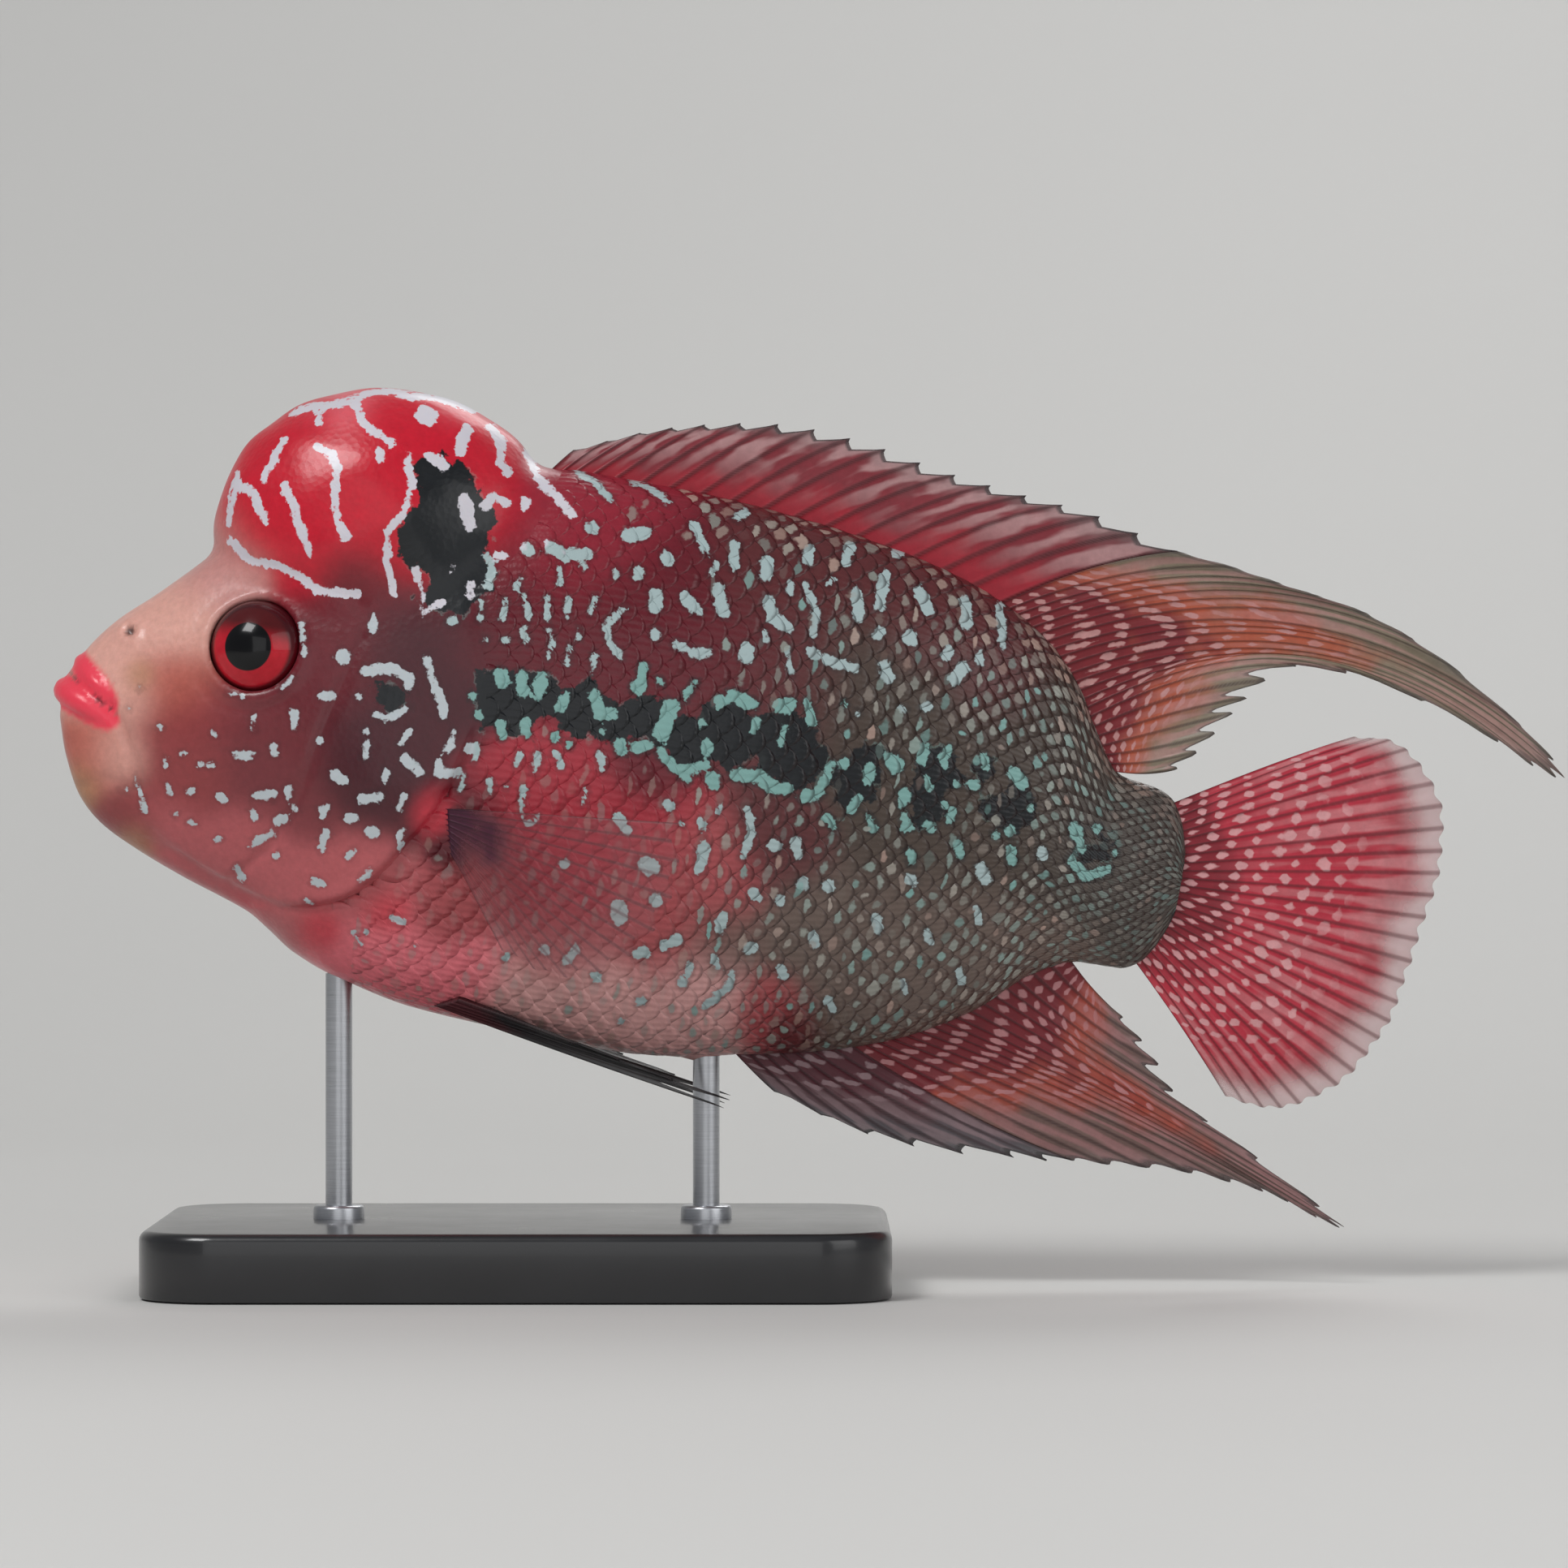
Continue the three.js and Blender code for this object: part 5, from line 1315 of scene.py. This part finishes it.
def fin_material(name):
    paint = FIN_PAINT[name]
    material, nodes, shader = blank_material(name + "_membrane", paint["middle"], 0.45, (0.12, 0.2), 0.3)
    place = nodes.place()
    along, ray, out = (nodes.attribute(name) for name in ("along", "ray", "out"))
    wander = nodes.minus(nodes.noise(place, 90, 3), 0.5)
    wavy = nodes.plus(along, nodes.times(wander, 0.7))
    colour = nodes.mix(nodes.below(wavy, paint["turns"][0], 0.12), rgba(paint["middle"]),
                       rgba(paint["root"]))
    at_edge = nodes.flipped(nodes.below(wavy, paint["turns"][1], 0.16))
    colour = nodes.mix(at_edge, colour, rgba(paint["edge"]))
    fine_ray = nodes.times(ray, paint["split"])
    from_middle = nodes.math("ABSOLUTE", nodes.minus(nodes.math("FRACT", fine_ray), 0.5))
    from_ray = nodes.minus(0.5, from_middle)
    stretched = nodes.add("ShaderNodeCombineXYZ", {0: fine_ray, 1: nodes.times(along, 2.5)}).outputs[0]
    smear = nodes.times(nodes.minus(nodes.noise(stretched, 1.1, 2), 0.5), 1.6)
    streak_mask = nodes.times(nodes.below(nodes.plus(from_middle, smear), 0.2, 0.16), paint["streaks"])
    streak_mask = nodes.times(streak_mask, nodes.flipped(nodes.below(along, 0.4, 0.3)))
    colour = nodes.mix(streak_mask, colour, rgba(paint["spot"]))
    beat = nodes.plus(nodes.times(along, 2 * math.pi * paint["count"]),
                      nodes.times(nodes.math("FLOOR", fine_ray), 2.1))
    beat = nodes.math("SINE", nodes.plus(beat, nodes.times(wander, 9.0)))
    spots = nodes.minus(nodes.times(from_middle, 2.6), beat)
    spots = nodes.plus(spots, nodes.times(nodes.minus(nodes.noise(place, 420, 3), 0.5), 3.0))
    spot_mask = nodes.times(nodes.below(spots, -0.1, 0.3), nodes.below(wavy, paint["stop"], 0.14))
    colour = nodes.mix(nodes.times(spot_mask, paint["spots"]), colour, rgba(paint["spot"]))
    ray_mask = nodes.below(from_ray, 0.1, 0.07)
    colour = nodes.mix(nodes.times(ray_mask, 0.55), colour, screen_colour(46, 24, 26))
    rim_mask = nodes.flipped(nodes.below(out, 0.965, 0.015))
    colour = nodes.mix(nodes.times(rim_mask, paint["rim"]), colour, screen_colour(34, 24, 28))
    mottled = nodes.plus(0.74, nodes.times(nodes.noise(place, 600, 5, 0.65), 0.52))
    nodes.link(nodes.shaded(colour, mottled), shader["Base Color"])
    clear_middle, clear_edge = paint["clear"]
    thin = nodes.flipped(nodes.below(nodes.plus(out, nodes.times(wander, 0.15)), 0.88, 0.1))
    clear = nodes.plus(clear_middle, nodes.times(thin, clear_edge - clear_middle))
    clear = nodes.times(clear, nodes.flipped(nodes.below(wavy, 0.2, 0.14)))
    clear = nodes.times(clear, nodes.flipped(nodes.times(ray_mask, 0.35)))
    nodes.link(nodes.flipped(clear), shader["Alpha"])
    joints = nodes.math("SINE", nodes.times(along, 260.0))
    height = nodes.plus(nodes.times(nodes.times(joints, ray_mask), 0.35), nodes.noise(place, 800, 3))
    nodes.link(nodes.bump(height, 0.00012, 0.5), shader["Normal"])
    return material


def make_fin(name, fin, material, slot, *replaced, mirror=False):
    sizes = settings()[0]
    points, faces, ray, along, out = fin_sheet(fin, sizes.steps_between_rays, sizes.fin_rows)
    if mirror:
        points = points * np.array([1, -1, 1])
        faces = [face[::-1] for face in faces]
    piece = new_object(name + "_membrane", to_world(points), faces)
    for label, values in (("ray", ray), ("along", along), ("out", out)):
        set_attribute(piece.data, label, values)
    edit_all(piece, bpy.ops.mesh.normals_make_consistent, inside=False)
    finish_piece(piece, material, slot, *replaced)


class FISH_OT_middle_fins(bpy.types.Operator):
    """Makes the dorsal, anal and tail fins"""

    bl_idname = "fish.middle_fins"
    bl_label = "Middle fins"

    def execute(self, context):
        for name, fin in FINS.items():
            slot = "grey_fin" if name == "anal_fin_spiny" else "red_fin"
            make_fin(name, fin, fin_material(name), slot, *fin["replaces"])
        return {"FINISHED"}


def pectoral_shape():
    """The pectoral fan of the left side, in the same terms as the solids."""
    shares = np.linspace(0, 1, 6)
    x = PECTORAL["root_top"][0] + shares * (PECTORAL["root_bottom"][0] - PECTORAL["root_top"][0])
    z = PECTORAL["root_top"][1] + shares * (PECTORAL["root_bottom"][1] - PECTORAL["root_top"][1])
    root = np.stack([x, -side_half_width(x, z), z], 1)
    reach = PECTORAL["longest"] * (0.95 + 0.3 * shares - 0.85 * shares**2)
    dip = np.radians(6 - 56 * shares)
    flare = PECTORAL["flare"]
    level = reach * np.cos(dip)
    tip = root + np.stack([level * math.cos(flare), -level * math.sin(flare), reach * np.sin(dip)], 1)
    return {"root": root.tolist(), "tip": tip.tolist(), "rays": PECTORAL["rays"], "bow": [0.05, 0, -0.03],
            "bow_along": (0, -1, 0), "notch": [0.03, 0.05, 0.04], "sink": 2, "thickness": (1.4, 0.5),
            "ridge": 0.2,
            "ruffle": 0.25}


class FISH_OT_paired_fins(bpy.types.Operator):
    """Makes the pectoral and pelvic fins of both sides"""

    bl_idname = "fish.paired_fins"
    bl_label = "Paired fins"

    def execute(self, context):
        pelvic = {**PELVIC, "bow": [0.02, 0, 0], "bow_along": (0, 0, -1), "notch": [0.3, 0.16, 0.14],
                  "sink": 2.5,
                  "thickness": (1.6, 0.5), "ridge": 0.25, "ruffle": 0.15}
        shapes = (("pectoral_fin", pectoral_shape(), "clear_fin"), ("pelvic_fin", pelvic, "grey_fin"))
        for name, shape, slot in shapes:
            material = fin_material(name)
            for side in ("left", "right"):
                full = name + "_" + side
                make_fin(full, shape, material, slot, full, mirror=side == "right")
        return {"FINISHED"}


def lacquer_material():
    material, nodes, shader = blank_material("black_lacquer", srgb(24, 24, 26), 0.28, (0.5, 0.1))
    place = nodes.place()
    cloudy = nodes.noise(place, 60, 5, 0.6)
    specks = nodes.add("ShaderNodeTexVoronoi", {"Vector": place, "Scale": 2600.0}).outputs[0]
    colour = nodes.mix(cloudy, screen_colour(17, 17, 19), screen_colour(31, 31, 34))
    colour = nodes.mix(nodes.times(nodes.below(specks, 0.08, 0.03), 0.25), colour,
                       screen_colour(80, 80, 84))
    nodes.link(colour, shader["Base Color"])
    nodes.link(nodes.plus(0.22, nodes.times(cloudy, 0.16)), shader["Roughness"])
    nodes.link(nodes.bump(nodes.noise(place, 500, 2), 0.00005, 0.3), shader["Normal"])
    return material


def steel_material():
    material, nodes, shader = blank_material("brushed_rod", srgb(190, 192, 196), 0.3, metallic=1.0)
    place = nodes.place()
    stretched = nodes.add("ShaderNodeMapping", {"Vector": place, "Scale": (1.0, 1.0, 30.0)}).outputs[0]
    lines = nodes.noise(stretched, 220, 3)
    nodes.link(nodes.mix(lines, screen_colour(166, 168, 172), screen_colour(206, 208, 212)),
               shader["Base Color"])
    nodes.link(nodes.plus(0.22, nodes.times(lines, 0.2)), shader["Roughness"])
    nodes.link(nodes.bump(lines, 0.00003, 0.3), shader["Normal"])
    return material


def choose_edges(piece, wanted):
    """Puts the piece in edit mode, with only the wanted edges selected."""
    make_active(piece)
    bpy.ops.object.mode_set(mode="EDIT")
    bpy.ops.mesh.select_mode(type="EDGE")
    bpy.ops.mesh.select_all(action="DESELECT")
    shape = bmesh.from_edit_mesh(piece.data)
    for edge in shape.edges:
        edge.select = wanted(edge)
    shape.select_flush_mode()
    bmesh.update_edit_mesh(piece.data)


def bake_place(piece):
    """Moves the object's place, turn and size into its mesh."""
    make_active(piece)
    bpy.ops.object.transform_apply(location=True, rotation=True, scale=True)


class FISH_OT_stand(bpy.types.Operator):
    """Makes the stand: a rounded base, two rods and the collars that hold them"""

    bl_idname = "fish.stand"
    bl_label = "Stand"

    def execute(self, context):
        sizes = settings()[0]
        low, high = (Vector(corner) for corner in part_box("stand_base"))
        deselect_all()
        bpy.ops.mesh.primitive_cube_add(size=1, location=(low + high) / 2)
        base = context.object
        base.name = base.data.name = "display_base"
        base.scale = high - low
        bake_place(base)
        self.round_edges(base, lambda a, b: abs(a.z - b.z) > 0.005, sizes.base_corner, 20)
        self.round_edges(base, lambda a, b: abs(a.z - b.z) < 1e-6 and a.z > high.z - 1e-4, 1.8 * MM, 5)
        self.round_edges(base, lambda a, b: abs(a.z - b.z) < 1e-6 and a.z < low.z + 1e-4, 0.6 * MM, 2)
        base.data.shade_smooth()
        make_active(base)
        bpy.ops.object.shade_smooth_by_angle(angle=math.radians(40))
        finish_piece(base, lacquer_material(), "base_lacquer", "stand_base")
        steel = steel_material()
        for name in ("stand_rod_front", "stand_rod_rear"):
            foot, head = (Vector(corner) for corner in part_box(name))
            centre = (foot + head) / 2
            rod = self.turned(name + "_bar", centre, (head.x - foot.x) / 2, high.z - 0.0005, head.z, 0.0)
            finish_piece(rod, steel, "rod_steel", name)
            top = high.z + 2.4 * MM
            collar = self.turned(name + "_collar", centre, 4.6 * MM, high.z - 0.0003, top, 0.7 * MM)
            finish_piece(collar, steel, "rod_steel")
        return {"FINISHED"}

    def round_edges(self, piece, wanted, width, segments):
        """Rounds the wanted edges, apart from those inside a flat top or bottom."""
        def chosen(edge):
            inside_flat = all(abs(face.normal.z) > 0.9 for face in edge.link_faces)
            return not inside_flat and wanted(edge.verts[0].co, edge.verts[1].co)

        choose_edges(piece, chosen)
        bpy.ops.mesh.bevel(offset=width, segments=segments, affect="EDGES", clamp_overlap=True)
        bpy.ops.object.mode_set(mode="OBJECT")

    def turned(self, name, centre, radius, bottom, top, rounding):
        deselect_all()
        place = (centre.x, centre.y, (top + bottom) / 2)
        bpy.ops.mesh.primitive_cylinder_add(vertices=64, radius=radius, depth=top - bottom, location=place)
        piece = bpy.context.object
        piece.name = piece.data.name = name
        bake_place(piece)
        if rounding:
            self.round_edges(piece, lambda a, b: abs(a.z - b.z) < 1e-6 and a.z > top - 1e-4, rounding, 4)
        make_active(piece)
        bpy.ops.object.shade_smooth_by_angle(angle=math.radians(50))
        return piece


class FISH_OT_stage(bpy.types.Operator):
    """Sets the pale floor, the soft studio lights and the camera"""

    bl_idname = "fish.stage"
    bl_label = "Stage"

    def execute(self, context):
        deselect_all()
        bpy.ops.mesh.primitive_plane_add(size=1)
        floor = context.object
        floor.name = floor.data.name = "studio_floor"
        floor.scale = (6, 2.4, 1)
        floor.location = (0, 0.0, -0.0002)
        bake_place(floor)
        choose_edges(floor, lambda edge: all(v.co.y > 1 for v in edge.verts))
        bpy.ops.mesh.extrude_region_move(TRANSFORM_OT_translate={"value": (0, 0, 2.6)})
        choose_edges(floor, lambda edge: all(v.co.y > 1 and v.co.z < 0.1 for v in edge.verts))
        bpy.ops.mesh.bevel(offset=0.7, segments=16, affect="EDGES")
        bpy.ops.object.mode_set(mode="OBJECT")
        floor.data.shade_smooth()
        material, nodes, shader = blank_material("pale_floor", srgb(214, 213, 210), 0.7)
        cloudy = nodes.noise(nodes.place(), 3, 2)
        tone = nodes.mix(cloudy, screen_colour(212, 211, 208), screen_colour(217, 216, 213))
        nodes.link(tone, shader["Base Color"])
        floor.data.materials.append(material)
        target = Vector((-0.01, 0, 0.09))
        for name, place, size, power in (
            ("key", (-0.7, -0.8, 1.3), 0.6, 12.5),
            ("fill", (0.95, -0.9, 0.5), 0.9, 3.6),
            ("rim", (0.35, 1.0, 1.05), 0.7, 5),
            ("front", (-0.1, -1.5, 0.35), 1.0, 2.4),
        ):
            light = bpy.data.lights.new(name, "AREA")
            light.size = size
            light.energy = power
            lamp = bpy.data.objects.new(name, light)
            lamp.location = place
            lamp.rotation_euler = (target - Vector(place)).to_track_quat("-Z", "Y").to_euler()
            context.collection.objects.link(lamp)
        world = bpy.data.worlds.new("studio")
        world.use_nodes = True
        world.node_tree.nodes["Background"].inputs[0].default_value = (0.93, 0.95, 1.0, 1)
        world.node_tree.nodes["Background"].inputs[1].default_value = 0.26
        context.scene.world = world
        context.scene.view_settings.view_transform = "Standard"
        self.set_camera(context)
        return {"FINISHED"}

    def set_camera(self, context):
        """A level camera on the fish's left side, with the photograph's framing."""
        picture = 1932
        middle = to_world(np.insert(from_photo([(picture / 2, picture / 2)]), 1, 0, axis=1))[0]
        distance = 1.25
        lens = bpy.data.cameras.new("camera")
        lens.sensor_width = 36
        lens.lens = 36 * distance / (picture * PHOTO_MM * MM)
        lens.clip_start = 0.05
        camera = bpy.data.objects.new("camera", lens)
        camera.location = (middle[0], -distance, middle[2])
        camera.rotation_euler = Euler((math.pi / 2, 0, 0))
        context.collection.objects.link(camera)
        context.scene.camera = camera


class FISH_PT_panel(bpy.types.Panel):
    """Lists the pieces of the fish in the sidebar"""

    bl_idname = "FISH_PT_panel"
    bl_label = "Flowerhorn"
    bl_space_type = "VIEW_3D"
    bl_region_type = "UI"
    bl_category = "Flowerhorn"

    def draw(self, context):
        for operator in OPERATORS:
            self.layout.operator(operator.bl_idname)
        for group in (context.scene.fish_sizes, context.scene.fish_colours):
            box = self.layout.box()
            for name in group.bl_rna.properties.keys():
                if name not in ("rna_type", "name"):
                    box.prop(group, name)


OPERATORS = [
    FISH_OT_skin,
    FISH_OT_scales,
    FISH_OT_eyes,
    FISH_OT_middle_fins,
    FISH_OT_paired_fins,
    FISH_OT_stand,
    FISH_OT_stage,
]
CLASSES = [FISH_PG_sizes, FISH_PG_colours, *OPERATORS, FISH_PT_panel]


def register():
    for cls in CLASSES:
        bpy.utils.register_class(cls)
    bpy.types.Scene.fish_sizes = bpy.props.PointerProperty(type=FISH_PG_sizes)
    bpy.types.Scene.fish_colours = bpy.props.PointerProperty(type=FISH_PG_colours)


def unregister():
    del bpy.types.Scene.fish_sizes
    del bpy.types.Scene.fish_colours
    for cls in reversed(CLASSES):
        bpy.utils.unregister_class(cls)


def main():
    register()
    bpy.ops.fish.skin()
    bpy.ops.fish.scales()
    bpy.ops.fish.eyes()
    bpy.ops.fish.middle_fins()
    bpy.ops.fish.paired_fins()
    bpy.ops.fish.stand()
    bpy.ops.fish.stage()
    deselect_all()


if __name__ == "__main__":
    main()
